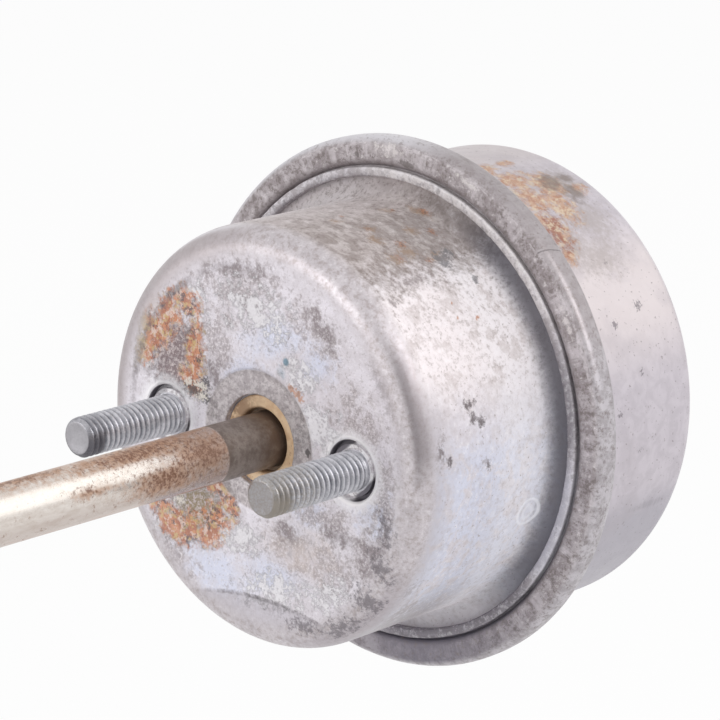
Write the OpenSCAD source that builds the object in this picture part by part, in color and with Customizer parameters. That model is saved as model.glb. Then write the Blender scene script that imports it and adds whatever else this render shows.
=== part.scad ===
// Wastegate actuator: two drawn cans joined by a rolled seam, a sprung diaphragm piston inside,
// a round rod through a guide bush, and two mounting studs beside the rod.
// The origin is the centre of the front face. The rod points along -Y, and +Z is up.

/* [Front can] */
// Outer diameter of the front can's wall
front_d = 62; // [56:0.5:72]
// Thickness of both cans' sheet steel
sheet_t = 1.2; // [1:0.05:1.3]
// Depth from the front face to the flange that the seam clamps
flange_depth = 28.9; // [26:0.1:31]
// Outer radius of the rounded front edge
front_edge_r = 4; // [2.5:0.1:5]
// Radius of the fillet between wall and flange
seam_fillet_r = 3.2; // [2.5:0.1:3.4]
// Width of the smooth coined ring round the bush hole
coined_ring_w = 3.7; // [2:0.1:4.5]
// Depth of the coined ring
coined_ring_depth = 0.2; // [0.1:0.05:0.4]

/* [Rear can] */
// Step in radius from the front can's wall to the rear can's wall
rear_step = 4.4; // [3.8:0.1:5]
// Depth from the front face to the rear end
body_depth = 58; // [55:0.2:66]
// Outer radius of the rounded rear edge
rear_edge_r = 4.2; // [3:0.1:8]

/* [Rolled seam] */
// Step in radius from the rear can's wall to the bead
bead_step = 4.8; // [4.2:0.1:6]
// Outer radius of the bead's corners
bead_corner_r = 1.7; // [1.5:0.1:1.9]
// Width of the cut lip that shows inside the bead
lip_w = 1.4; // [1:0.1:1.6]
// Height of the cut lip in front of the bead
lip_proud = 0.3; // [0.1:0.1:0.6]
// Width of the crevice between lip and bead
crevice_w = 0.25; // [0.2:0.05:0.4]
// Radius of the bead's edge beside the crevice
knuckle_r = 1; // [0.7:0.05:1]

/* [Studs] */
// Outer diameter of the M6 thread
stud_d = 5.9; // [5.8:0.05:6]
// Distance from the middle of a stud in to the front can's wall
stud_inset = 13; // [12.5:0.1:15]
// Length of a stud in front of the face
stud_reach = 18.1; // [14:0.1:24]
// Angle of the stud line about the rod, positive lifts the right stud
stud_clock = -2.8; // [-20:0.1:20]
// Wall of the plate's collar round a stud
stud_collar_wall = 0.6; // [0.4:0.05:0.7]
// Radial gap between a collar and its hole in the face
stud_hole_gap = 0.55; // [0.3:0.05:0.8]

/* [Rod and bush] */
// Diameter of the rod
rod_d = 8.2; // [7.8:0.1:8.4]
// Length of plain rod in front of the face
rod_plain_reach = 62; // [54:1:70]
// Length of rod thread inside the eye end's shank
thread_grip = 15.5; // [12:0.5:20]
// Radial clearance between rod and bush
running_gap = 0.05; // [0.03:0.01:0.08]
// Wall of the bush round the rod
bush_wall = 2.55; // [2:0.05:3]
// Radial gap between the bush and its hole in the face
bush_hole_gap = 0.15; // [0.05:0.05:0.3]
// Radial gap between the rod and the bush's open mouth
bush_mouth_gap = 0.6; // [0.4:0.05:0.9]
// Depth of the bush's end behind the face
bush_recess = 0.9; // [0.5:0.1:1.1]
// Length of the bush
bush_len = 11; // [8:0.5:13]

/* [Piston and spring] */
// Radial space between piston and front can, where the diaphragm folds
fold_space = 4.3; // [4.2:0.1:5]
// Height of the piston's side wall
piston_h = 16; // [12:0.5:17]
// Thickness of the rubber diaphragm
diaphragm_t = 1; // [0.8:0.05:1.1]
// Space between the spring and the piston's side wall
spring_side_gap = 4; // [1:0.1:4.5]
// Diameter of the spring wire
spring_wire_d = 3.4; // [2.6:0.1:3.5]
// Number of turns of the spring
spring_turns = 6.5; // [5:0.5:6.5]

/* [Hose nipple] */
// Outer diameter of the nipple
nipple_d = 8; // [6:0.5:10]
// Wall of the nipple round its bore
nipple_wall = 1.7; // [1:0.1:2]
// Length of the nipple behind the rear end
nipple_len = 17; // [14:0.5:24]
// Distance from the middle of the nipple up to the rear can's wall
nipple_inset = 15.4; // [12.5:0.1:18]

/* [Rod end] */
// Bore of the eye
eye_bore_d = 10; // [8:0.5:12]
// Wall of the eye round its bore
eye_wall = 5; // [3.5:0.1:7]
// Width of the eye
eye_w = 8; // [6:0.5:10]
// Width across the lock nut's flats
lock_nut_af = 13; // [12:0.5:14]

/* [Hidden] */

$fn = 96;
overcut = 1;

front_r = front_d / 2;
rear_r = front_r + rear_step;
bead_r = rear_r + bead_step;
rod_r = rod_d / 2;
bush_bore_r = rod_r + running_gap;
bush_mouth_r = rod_r + bush_mouth_gap;
bush_r = rod_r + bush_wall;
bush_hole_r = bush_r + bush_hole_gap;

// Depths through the rolled seam, from the bead's front face to its rear face
bead_front = flange_depth - sheet_t;
flange_back = flange_depth + sheet_t;
shoulder_front = flange_back + diaphragm_t;
bead_back = shoulder_front + sheet_t;
flange_gap = 0.6;
flange_r = bead_r - sheet_t - flange_gap;
neck_r = 1;
lip_r = front_r + seam_fillet_r;
crevice_x = lip_r + lip_w;
knuckle_x = crevice_x + crevice_w + knuckle_r;
crevice_floor = 0.5;
rear_inside = body_depth - sheet_t;

// Notch in the edge of the bush hole
key_notch_w = 2.4;
key_notch_reach = 1.4;
key_notch_angle = -29;

stud_x = front_r - stud_inset;
stud_r = stud_d / 2;
stud_chamfer = 0.8;
press_step = 0.2;
stud_press_r = stud_r + press_step;
stud_head_over = 1.55;
stud_head_r = stud_press_r + stud_head_over;
stud_head_t = 2.4;
stud_collar_r = stud_press_r + stud_collar_wall;
stud_collar_recess = 0.45;
stud_hole_r = stud_collar_r + stud_hole_gap;
stud_hole_bevel = 0.5;

plate_t = 2;
plate_back = sheet_t + plate_t;
plate_rim = 1.7;
plate_r = stud_x + stud_head_r + plate_rim;

mouth_depth = 1.6;
mouth_bevel = 0.5;
bush_back = bush_recess + bush_len;
wiper_t = 1.2;
wiper_back = bush_back + wiper_t;
housing_t = 1;
housing_r = bush_r + housing_t;
housing_mouth_gap = 1;

seat_t = 1;
seat_gap = 0.3;
seat_front = plate_back + stud_head_t + seat_gap;
seat_back = seat_front + seat_t;
seat_bend_r = 0.6;
seat_collar_h = 2.6;

// Stack on the rod's inner end, from the rod's shoulder to the thread's tip
thread_tip_gap = 0.3;
thread_proud = 1.1;
inner_thread_r = 2.95;
thread_tip = rear_inside - thread_tip_gap;
nut_t = 5;
seal_t = 1;
washer_t = 1.2;
nut_back = thread_tip - thread_proud;
nut_front = nut_back - nut_t;
seal_front = nut_front - seal_t;
retainer_front = seal_front - sheet_t;
head_back = retainer_front - diaphragm_t;
head_front = head_back - sheet_t;
shoulder = head_front - washer_t;
washer_r = 8;
seal_r = 5.4;
nut_af = 10;
nut_bevel_w = 1.6;
retainer_rim = 1.6;

piston_r = front_r - sheet_t - fold_space;
retainer_inset = 5.5;
retainer_r = piston_r - retainer_inset;
piston_corner_r = 3;
skirt_gap = 0.3;
fold_overhang = 0.2;
fold_rise = 0.3;
leg_r = piston_r + skirt_gap;
fold_r = (fold_space - 2 * diaphragm_t - skirt_gap + fold_overhang) / 2;
fold_depth = flange_depth - fold_rise;
fold_x = leg_r + diaphragm_t + fold_r;
outer_leg_r = fold_x + fold_r;
edge_bend_r = 0.6;
edge_bend_x = outer_leg_r + diaphragm_t + edge_bend_r;

// Wire of the spring, between the seat and the piston's head
wire_r = spring_wire_d / 2;
spring_r = piston_r - sheet_t - spring_side_gap - wire_r;
seat_collar_r = spring_r - wire_r - seat_gap;
spring_span = head_front - seat_back;
spring_steps = 24;
wire_sides = 10;
closed_turns = 0.9;

nipple_rise = rear_r - nipple_inset;
nipple_r = nipple_d / 2;
nipple_bore_r = nipple_r - nipple_wall;
nipple_shoulder = 0.6;
nipple_neck_r = nipple_r + nipple_shoulder;
nipple_flange_w = 1.4;
nipple_flange_t = 1.2;
nipple_chamfer = 0.8;
braze_w = 1.6;
braze_h = 1.4;
braze_waist = 0.4;

rod_chamfer = 0.8;
rod_thread_step = 0.15;
rod_thread_r = rod_r - rod_thread_step;
lock_nut_t = 6.5;
lock_nut_gap = 5;
lock_nut_start = rod_plain_reach + lock_nut_gap;
shank_start = lock_nut_start + lock_nut_t;
rod_tip = shank_start + thread_grip;
shank_bore_space = 1;
shank_bore_end = rod_tip + shank_bore_space;
shank_wall = 2.55;
shank_r = rod_thread_r + shank_wall;
shank_bevel = 0.8;
shank_floor = 4.1;
shank_end = shank_bore_end + shank_floor;
eye_bore_r = eye_bore_d / 2;
eye_r = eye_bore_r + eye_wall;
eye_wall_before_bore = 1.4;
eye_centre = shank_end + eye_wall_before_bore + eye_bore_r;

zinc = [0.70, 0.69, 0.71];
dark_zinc = [0.52, 0.52, 0.54];
rubber = [0.10, 0.10, 0.10];
spring_steel = [0.35, 0.36, 0.38];
bush_tan = [0.86, 0.71, 0.55];
rusty_steel = [0.55, 0.47, 0.42];
copper = [0.72, 0.46, 0.30];
felt = [0.32, 0.30, 0.27];

// Turns the modelling axis so that local +Z points forward, out of the front face.
module forward() rotate([90, 0, 0]) children();

// Revolves a profile drawn with x as the radius and y as the height in front of the face.
module spin() forward() rotate_extrude() children();

// Flat strip of a profile between two radii and two depths.
module strip(inner, outer, front, back)
    translate([inner, -back]) square([outer - inner, back - front]);

// Quarter bend of sheet: middle at radius x and depth d, inside radius r, towards side = [x, y] signs.
module bend(x, d, r, t, side)
    intersection() {
        translate([x, -d]) difference() {
            circle(r + t);
            if (r > 0) circle(r);
        }
        translate([side.x > 0 ? x : x - r - t - overcut, side.y > 0 ? -d : -d - r - t - overcut])
            square(r + t + overcut);
    }

// Round solid between two depths.
module disc(r, front, back) forward() translate([0, 0, -back]) cylinder(r = r, h = back - front);

// Ring between two depths.
module ring(inner, outer, front, back) spin() strip(inner, outer, front, back);

// Places its children at both studs.
module at_stud(side) rotate([0, -stud_clock, 0]) translate([side * stud_x, 0, 0]) children();

// Six-sided nut with a bevel on both faces.
module hex_nut(af, bore_r, front, back) {
    corner_r = af / 2 / cos(30);
    difference() {
        intersection() {
            forward() translate([0, 0, -back]) cylinder(r = corner_r, h = back - front, $fn = 6);
            bevelled_disc(af / 2 + nut_bevel_w, front, back, nut_bevel_w);
        }
        disc(bore_r, front - overcut, back + overcut);
    }
}

// Round solid with a bevel on both ends, half as deep as it is wide.
module bevelled_disc(r, front, back, bevel)
    spin() polygon([
        [0, -front], [r - bevel, -front], [r, -front - bevel / 2],
        [r, -back + bevel / 2], [r - bevel, -back], [0, -back]
    ]);

module front_can() color(zinc) difference() {
    spin() {
        strip(bush_hole_r, front_r - front_edge_r, 0, sheet_t);
        bend(front_r - front_edge_r, front_edge_r, front_edge_r - sheet_t, sheet_t, [1, 1]);
        strip(front_r - sheet_t, front_r, front_edge_r, flange_depth - seam_fillet_r);
        bend(front_r + seam_fillet_r, flange_depth - seam_fillet_r, seam_fillet_r, sheet_t, [-1, -1]);
        strip(front_r + seam_fillet_r, flange_r, flange_depth, flange_back);
    }
    disc(bush_hole_r + coined_ring_w, -overcut, coined_ring_depth);
    for (side = [-1, 1]) at_stud(side) {
        disc(stud_hole_r, -overcut, sheet_t + overcut);
        forward() translate([0, 0, -stud_hole_bevel])
            cylinder(r1 = stud_hole_r, r2 = stud_hole_r + stud_hole_bevel * 2, h = stud_hole_bevel * 2);
    }
    rotate([0, -key_notch_angle, 0])
        translate([0, -overcut, -key_notch_w / 2])
            cube([bush_hole_r + key_notch_reach, sheet_t + overcut * 2, key_notch_w]);
}

module rear_can() color(zinc) difference() {
    spin() {
        strip(lip_r, crevice_x, bead_front - lip_proud, flange_depth);
        strip(crevice_x, knuckle_x, flange_depth - crevice_floor, flange_depth);
        bend(knuckle_x, bead_front + knuckle_r, 0, knuckle_r, [-1, 1]);
        strip(knuckle_x - knuckle_r, knuckle_x, bead_front + knuckle_r, flange_depth);
        strip(knuckle_x, bead_r - bead_corner_r, bead_front, flange_depth);
        bend(bead_r - bead_corner_r, bead_front + bead_corner_r, bead_corner_r - sheet_t, sheet_t, [1, 1]);
        strip(bead_r - sheet_t, bead_r, bead_front + bead_corner_r, bead_back - bead_corner_r);
        bend(bead_r - bead_corner_r, bead_back - bead_corner_r, bead_corner_r - sheet_t, sheet_t, [1, -1]);
        strip(rear_r + neck_r, bead_r - bead_corner_r, shoulder_front, bead_back);
        bend(rear_r + neck_r, bead_back + neck_r, neck_r, sheet_t, [-1, 1]);
        strip(rear_r - sheet_t, rear_r, bead_back + neck_r, body_depth - rear_edge_r);
        bend(rear_r - rear_edge_r, body_depth - rear_edge_r, rear_edge_r - sheet_t, sheet_t, [1, -1]);
        strip(0, rear_r - rear_edge_r, rear_inside, body_depth);
    }
    translate([0, 0, nipple_rise]) disc(nipple_neck_r, rear_inside - overcut, body_depth + overcut);
}

module hose_nipple() color(dark_zinc) translate([0, 0, nipple_rise]) {
    tip = body_depth + nipple_len;
    neck_end = body_depth + braze_h;
    inside = rear_inside - nipple_flange_t;
    flange_r = nipple_neck_r + nipple_flange_w;
    spin() polygon([
        [nipple_bore_r, -inside], [flange_r, -inside], [flange_r, -rear_inside],
        [nipple_neck_r, -rear_inside], [nipple_neck_r, -neck_end], [nipple_r, -neck_end],
        [nipple_r, -tip + nipple_chamfer], [nipple_r - nipple_chamfer, -tip], [nipple_bore_r, -tip]
    ]);
}

module braze_ring() color(copper) translate([0, 0, nipple_rise]) spin()
    polygon([
        [nipple_neck_r, -body_depth], [nipple_neck_r + braze_w, -body_depth],
        [nipple_neck_r + braze_waist, -body_depth - braze_h / 2], [nipple_neck_r, -body_depth - braze_h]
    ]);

module stud_plate() color(dark_zinc) difference() {
    union() {
        disc(plate_r, sheet_t, plate_back);
        for (side = [-1, 1]) at_stud(side) disc(stud_collar_r, stud_collar_recess, plate_back);
    }
    disc(housing_r, -overcut, plate_back + overcut);
    for (side = [-1, 1]) at_stud(side) disc(stud_press_r, -overcut, plate_back + overcut);
}

module stud(side) color(dark_zinc) at_stud(side) {
    end = plate_back + stud_head_t;
    spin() polygon([
        [0, stud_reach], [stud_r - stud_chamfer, stud_reach], [stud_r, stud_reach - stud_chamfer],
        [stud_r, -stud_collar_recess], [stud_press_r, -stud_collar_recess],
        [stud_press_r, -plate_back], [stud_head_r, -plate_back], [stud_head_r, -end], [0, -end]
    ]);
}

module rod_bush() color(bush_tan) spin() polygon([
    [bush_mouth_r + mouth_bevel, -bush_recess], [bush_r, -bush_recess], [bush_r, -bush_back],
    [bush_bore_r, -bush_back], [bush_bore_r, -bush_recess - mouth_depth],
    [bush_mouth_r, -bush_recess - mouth_depth], [bush_mouth_r, -bush_recess - mouth_bevel]
]);

module bush_housing() color(dark_zinc) spin() {
    strip(bush_r, housing_r, sheet_t, wiper_back);
    strip(rod_r + housing_mouth_gap, housing_r, wiper_back, wiper_back + housing_t);
}

module rod_wiper() color(felt) ring(bush_bore_r, bush_r, bush_back, wiper_back);

module spring_seat() color(dark_zinc) spin() {
    rim_x = plate_r - seat_t - seat_bend_r;
    collar_x = seat_collar_r + seat_bend_r;
    strip(plate_r - seat_t, plate_r, plate_back, seat_front - seat_bend_r);
    bend(rim_x, seat_front - seat_bend_r, seat_bend_r, seat_t, [1, -1]);
    strip(collar_x, rim_x, seat_front, seat_back);
    bend(collar_x, seat_back + seat_bend_r, seat_bend_r, seat_t, [-1, 1]);
    strip(seat_collar_r - seat_t, seat_collar_r, seat_back + seat_bend_r, seat_back + seat_collar_h);
}

// Height of the spring's wire above its front end, after a number of turns.
function wire_height(turns) =
    let (
        free = spring_turns - 2 * closed_turns,
        free_span = spring_span - (1 + 2 * closed_turns) * spring_wire_d,
        open = max(0, min(free, turns - closed_turns))
    )
    (turns - open) * spring_wire_d + open * free_span / free;

// Points of the wire's section after a number of turns.
function wire_ring(turns) = [
    for (i = [0:wire_sides - 1])
        let (
            a = 360 * i / wire_sides,
            r = spring_r + wire_r * cos(a),
            h = wire_height(turns) + wire_r * (1 + sin(a))
        )
        [r * cos(360 * turns), r * sin(360 * turns), -seat_back - h]
];

module return_spring() color(spring_steel) forward() {
    count = round(spring_turns * spring_steps);
    points = [for (k = [0:count]) each wire_ring(k / spring_steps)];
    sides = [
        for (k = [0:count - 1], i = [0:wire_sides - 1])
            let (j = (i + 1) % wire_sides, a = k * wire_sides, b = a + wire_sides)
            [a + i, b + i, b + j, a + j]
    ];
    first = [for (i = [0:wire_sides - 1]) i];
    last = [for (i = [wire_sides - 1:-1:0]) count * wire_sides + i];
    polyhedron(points, concat(sides, [first, last]));
}

module diaphragm() color(rubber) spin() {
    strip(inner_thread_r, leg_r - piston_corner_r, head_back, retainer_front);
    bend(leg_r - piston_corner_r, head_back - piston_corner_r, piston_corner_r, diaphragm_t, [1, -1]);
    strip(leg_r, leg_r + diaphragm_t, fold_depth, head_back - piston_corner_r);
    for (side = [-1, 1]) bend(fold_x, fold_depth, fold_r, diaphragm_t, [side, 1]);
    strip(outer_leg_r, outer_leg_r + diaphragm_t, fold_depth, flange_back - edge_bend_r);
    bend(edge_bend_x, flange_back - edge_bend_r, edge_bend_r, diaphragm_t, [-1, -1]);
    strip(edge_bend_x, flange_r, flange_back, shoulder_front);
}

module piston() color(dark_zinc) spin() {
    strip(inner_thread_r, piston_r - piston_corner_r, head_front, head_back);
    bend(piston_r - piston_corner_r, head_back - piston_corner_r, piston_corner_r - sheet_t, sheet_t, [1, -1]);
    strip(piston_r - sheet_t, piston_r, head_back - piston_h, head_back - piston_corner_r);
}

module retainer_plate() color(dark_zinc) spin() {
    strip(inner_thread_r, retainer_r, retainer_front, seal_front);
    strip(retainer_r - sheet_t, retainer_r, seal_front, seal_front + retainer_rim);
}

module rod_seal() color(rubber) ring(inner_thread_r, seal_r, seal_front, nut_front);

module rod_washer() color(zinc) ring(inner_thread_r, washer_r, shoulder, head_front);

module rod_nut() color(zinc) hex_nut(nut_af, inner_thread_r, nut_front, nut_back);

module rod() color(rusty_steel) spin() polygon([
    [0, rod_tip], [rod_thread_r - rod_chamfer, rod_tip], [rod_thread_r, rod_tip - rod_chamfer],
    [rod_thread_r, rod_plain_reach], [rod_r, rod_plain_reach - rod_thread_step], [rod_r, -shoulder],
    [inner_thread_r, -shoulder], [inner_thread_r, -thread_tip + rod_chamfer],
    [inner_thread_r - rod_chamfer, -thread_tip], [0, -thread_tip]
]);

module lock_nut() color(zinc) hex_nut(lock_nut_af, rod_thread_r, -shank_start, -lock_nut_start);

module rod_end() color(dark_zinc) difference() {
    union() {
        bevelled_disc(shank_r, -shank_end, -shank_start, shank_bevel);
        translate([-eye_w / 2, -eye_centre, 0]) rotate([0, 90, 0]) cylinder(r = eye_r, h = eye_w);
    }
    translate([-eye_w, -eye_centre, 0]) rotate([0, 90, 0]) cylinder(r = eye_bore_r, h = eye_w * 2);
    disc(rod_thread_r, -shank_bore_end, -shank_start + overcut);
}

front_can();
rear_can();
hose_nipple();
braze_ring();
stud_plate();
stud(-1);  // stud_left
stud(1);  // stud_right
rod_bush();
bush_housing();
rod_wiper();
spring_seat();
return_spring();
diaphragm();
piston();
retainer_plate();
rod_seal();
rod_washer();
rod_nut();
rod();
lock_nut();
rod_end();
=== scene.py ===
"""Looks of the wastegate actuator: its visible pieces, their surfaces, the studio and the camera.

Lengths are millimetres in the row frame until a mesh is made. A depth is measured behind the front face.
"""
import math

import bmesh
import bpy
import numpy as np
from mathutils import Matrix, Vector, noise


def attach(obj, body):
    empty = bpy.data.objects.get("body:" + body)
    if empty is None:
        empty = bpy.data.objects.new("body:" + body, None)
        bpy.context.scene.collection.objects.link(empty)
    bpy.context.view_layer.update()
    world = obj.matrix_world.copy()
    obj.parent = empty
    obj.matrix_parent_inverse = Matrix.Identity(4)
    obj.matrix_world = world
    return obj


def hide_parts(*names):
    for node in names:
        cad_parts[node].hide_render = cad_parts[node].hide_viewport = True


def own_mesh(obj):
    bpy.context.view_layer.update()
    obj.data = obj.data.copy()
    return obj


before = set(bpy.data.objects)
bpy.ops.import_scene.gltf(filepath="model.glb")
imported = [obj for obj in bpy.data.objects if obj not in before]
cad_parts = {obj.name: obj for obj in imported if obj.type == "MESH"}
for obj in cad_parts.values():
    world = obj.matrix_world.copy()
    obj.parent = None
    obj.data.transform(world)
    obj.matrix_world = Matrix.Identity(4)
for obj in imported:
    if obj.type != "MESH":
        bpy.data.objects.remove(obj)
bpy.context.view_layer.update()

MM = 0.001

# Front can
FRONT_R = 31.0
SHEET = 1.2
FRONT_EDGE = 4.0
FLANGE_DEPTH = 28.9
SEAM_FILLET = 3.2
COINED_R = 10.5
COINED_DEPTH = 0.2
BUSH_HOLE_R = 6.8
STUD_X = 18.0
STUD_CLOCK = math.radians(-2.8)
STUD_HOLE_R = 4.3
STUD_HOLE_LIP = 0.5
KEY_NOTCH = (2.4, 8.2, math.radians(-29))

# Rear can and its rolled bead
REAR_R = 35.4
BODY_DEPTH = 58.0
REAR_EDGE = 4.2
BEAD_R = 40.18
BEAD_FRONT = 27.7
BEAD_BACK = 32.3
BEAD_CORNER = 1.7
LIP_R = 34.2
LIP_WIDTH = 1.4
LIP_PROUD = 0.3
CREVICE = 0.25
KNUCKLE = 1.0
NECK = 1.0
NIPPLE_RISE = 20.0
NIPPLE_NECK_R = 4.6

# Studs, bush and rod
STUD_R = 2.95
STUD_PRESS_R = 3.15
STUD_HEAD_R = 4.7
STUD_COLLAR_FRONT = 0.45
PLATE_BACK = 3.2
STUD_BACK = 5.6
STUD_REACH = 18.1
BUSH_R = 6.65
ROD_R = 4.1
ROD_PLAIN = 62.0
ROD_TIP = 89.0
ROD_THREAD_R = 3.95
ROD_SHOULDER = 44.8
ROD_INNER_R = 2.95
ROD_INNER_TIP = 56.5
SHANK_R = 6.5
SHANK_START = 73.5
SHANK_END = 94.1
SHANK_BORE_END = 90.0
EYE_CENTRE = 100.5
EYE_R = 9.99
EYE_BORE_R = 5.0
EYE_W = 8.0

# Spring and diaphragm
SEAT_BACK = 6.9
HEAD_FRONT = 46.0
SPRING_R = 18.6
WIRE_R = 1.7
SPRING_TURNS = 6.5
CLOSED_TURNS = 0.9
RUBBER = 1.0
FLANGE_BACK = 30.1
HEAD_BACK = 47.2
PISTON_LEG_R = 25.8
PISTON_CORNER = 3.0
FOLD_DEPTH = 28.6
FOLD_R = 1.1
EDGE_BEND = 0.6


# Meshes

def finish_mesh(name, verts, faces, smooth_angle=35):
    """A mesh object from points in millimetres, smooth but for edges sharper than the angle."""
    mesh = bpy.data.meshes.new(name)
    mesh.from_pydata([[c * MM for c in v] for v in verts], [], faces)
    mesh.validate()
    obj = bpy.data.objects.new(name, mesh)
    bpy.context.scene.collection.objects.link(obj)
    bm = bmesh.new()
    bm.from_mesh(mesh)
    bmesh.ops.recalc_face_normals(bm, faces=bm.faces)
    bm.to_mesh(mesh)
    bm.free()
    smooth(obj, smooth_angle)
    return obj


def smooth(obj, angle=35):
    obj.data.shade_smooth()
    obj.data.set_sharp_from_angle(angle=math.radians(angle))


def arc(x, d, r, start, end, steps):
    """Points of a profile's arc round (radius x, depth d); angles in degrees, 0 outward and 90 forward."""
    return [
        (x + r * math.cos(math.radians(a)), d - r * math.sin(math.radians(a)))
        for a in np.linspace(start, end, steps)
    ]


def line(a, b, steps):
    """Points of a straight stretch of profile, without its last point."""
    return [(a[0] + (b[0] - a[0]) * t, a[1] + (b[1] - a[1]) * t) for t in np.linspace(0, 1, steps + 1)[:-1]]


def revolve(name, profile, segments, shape=None, smooth_angle=35, plug=None):
    """Turns a closed profile of (radius, depth) points about the rod's axis.

    The stretch after point number plug is left out, and the middle is closed by flat faces there.
    """
    verts, faces = [], []
    n = len(profile)
    for s in range(segments):
        a = 2 * math.pi * s / segments
        for r, d in profile:
            if shape:
                r, d = shape(r, d, a)
            verts.append((r * math.cos(a), d, r * math.sin(a)))
    for s in range(segments):
        t = (s + 1) % segments
        for i in range(n):
            j = (i + 1) % n
            if i != plug:
                faces.append((s * n + i, s * n + j, t * n + j, t * n + i))
    if plug is not None:
        faces += [tuple(s * n + i for s in range(segments)) for i in (plug, plug + 1)]
    return finish_mesh(name, verts, faces, smooth_angle)


def solid_of_revolution(name, profile, segments, centre=(0, 0), radius=None, smooth_angle=35):
    """Turns an open profile that starts and ends on the axis; radius(r, d, a) may change it."""
    verts, faces = [(centre[0], profile[0][1], centre[1])], []
    inner = profile[1:-1]
    n = len(inner)
    for s in range(segments):
        a = 2 * math.pi * s / segments
        for r, d in inner:
            if radius:
                r = radius(r, d, a)
            verts.append((centre[0] + r * math.cos(a), d, centre[1] + r * math.sin(a)))
    verts.append((centre[0], profile[-1][1], centre[1]))
    last = len(verts) - 1
    for s in range(segments):
        t = (s + 1) % segments
        a, b = 1 + s * n, 1 + t * n
        faces.append((0, a, b))
        for i in range(n - 1):
            faces.append((a + i, a + i + 1, b + i + 1, b + i))
        faces.append((last, b + n - 1, a + n - 1))
    return finish_mesh(name, verts, faces, smooth_angle)


def cut(obj, *cutters):
    """Cuts the cutters out of obj and applies the result."""
    for cutter in cutters:
        mod = obj.modifiers.new("cut", "BOOLEAN")
        mod.operation = "DIFFERENCE"
        mod.solver = "EXACT"
        mod.object = cutter
        apply_modifiers(obj)
        bpy.data.objects.remove(cutter)


def apply_modifiers(obj):
    graph = bpy.context.evaluated_depsgraph_get()
    mesh = bpy.data.meshes.new_from_object(obj.evaluated_get(graph))
    obj.modifiers.clear()
    obj.data = mesh


def flat_shading(obj):
    """Keeps flat faces flat where they meet rounded edges."""
    mod = obj.modifiers.new("flat", "WEIGHTED_NORMAL")
    mod.keep_sharp = True
    mod.weight = 80


def stud_centre(side):
    return side * STUD_X * math.cos(STUD_CLOCK), side * STUD_X * math.sin(STUD_CLOCK)


# Materials

def srgb(r, g, b):
    """A colour written as 0 to 255 screen values."""
    def lin(v):
        v /= 255
        return v / 12.92 if v <= 0.04045 else ((v + 0.055) / 1.055) ** 2.4
    return lin(r), lin(g), lin(b), 1.0


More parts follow.
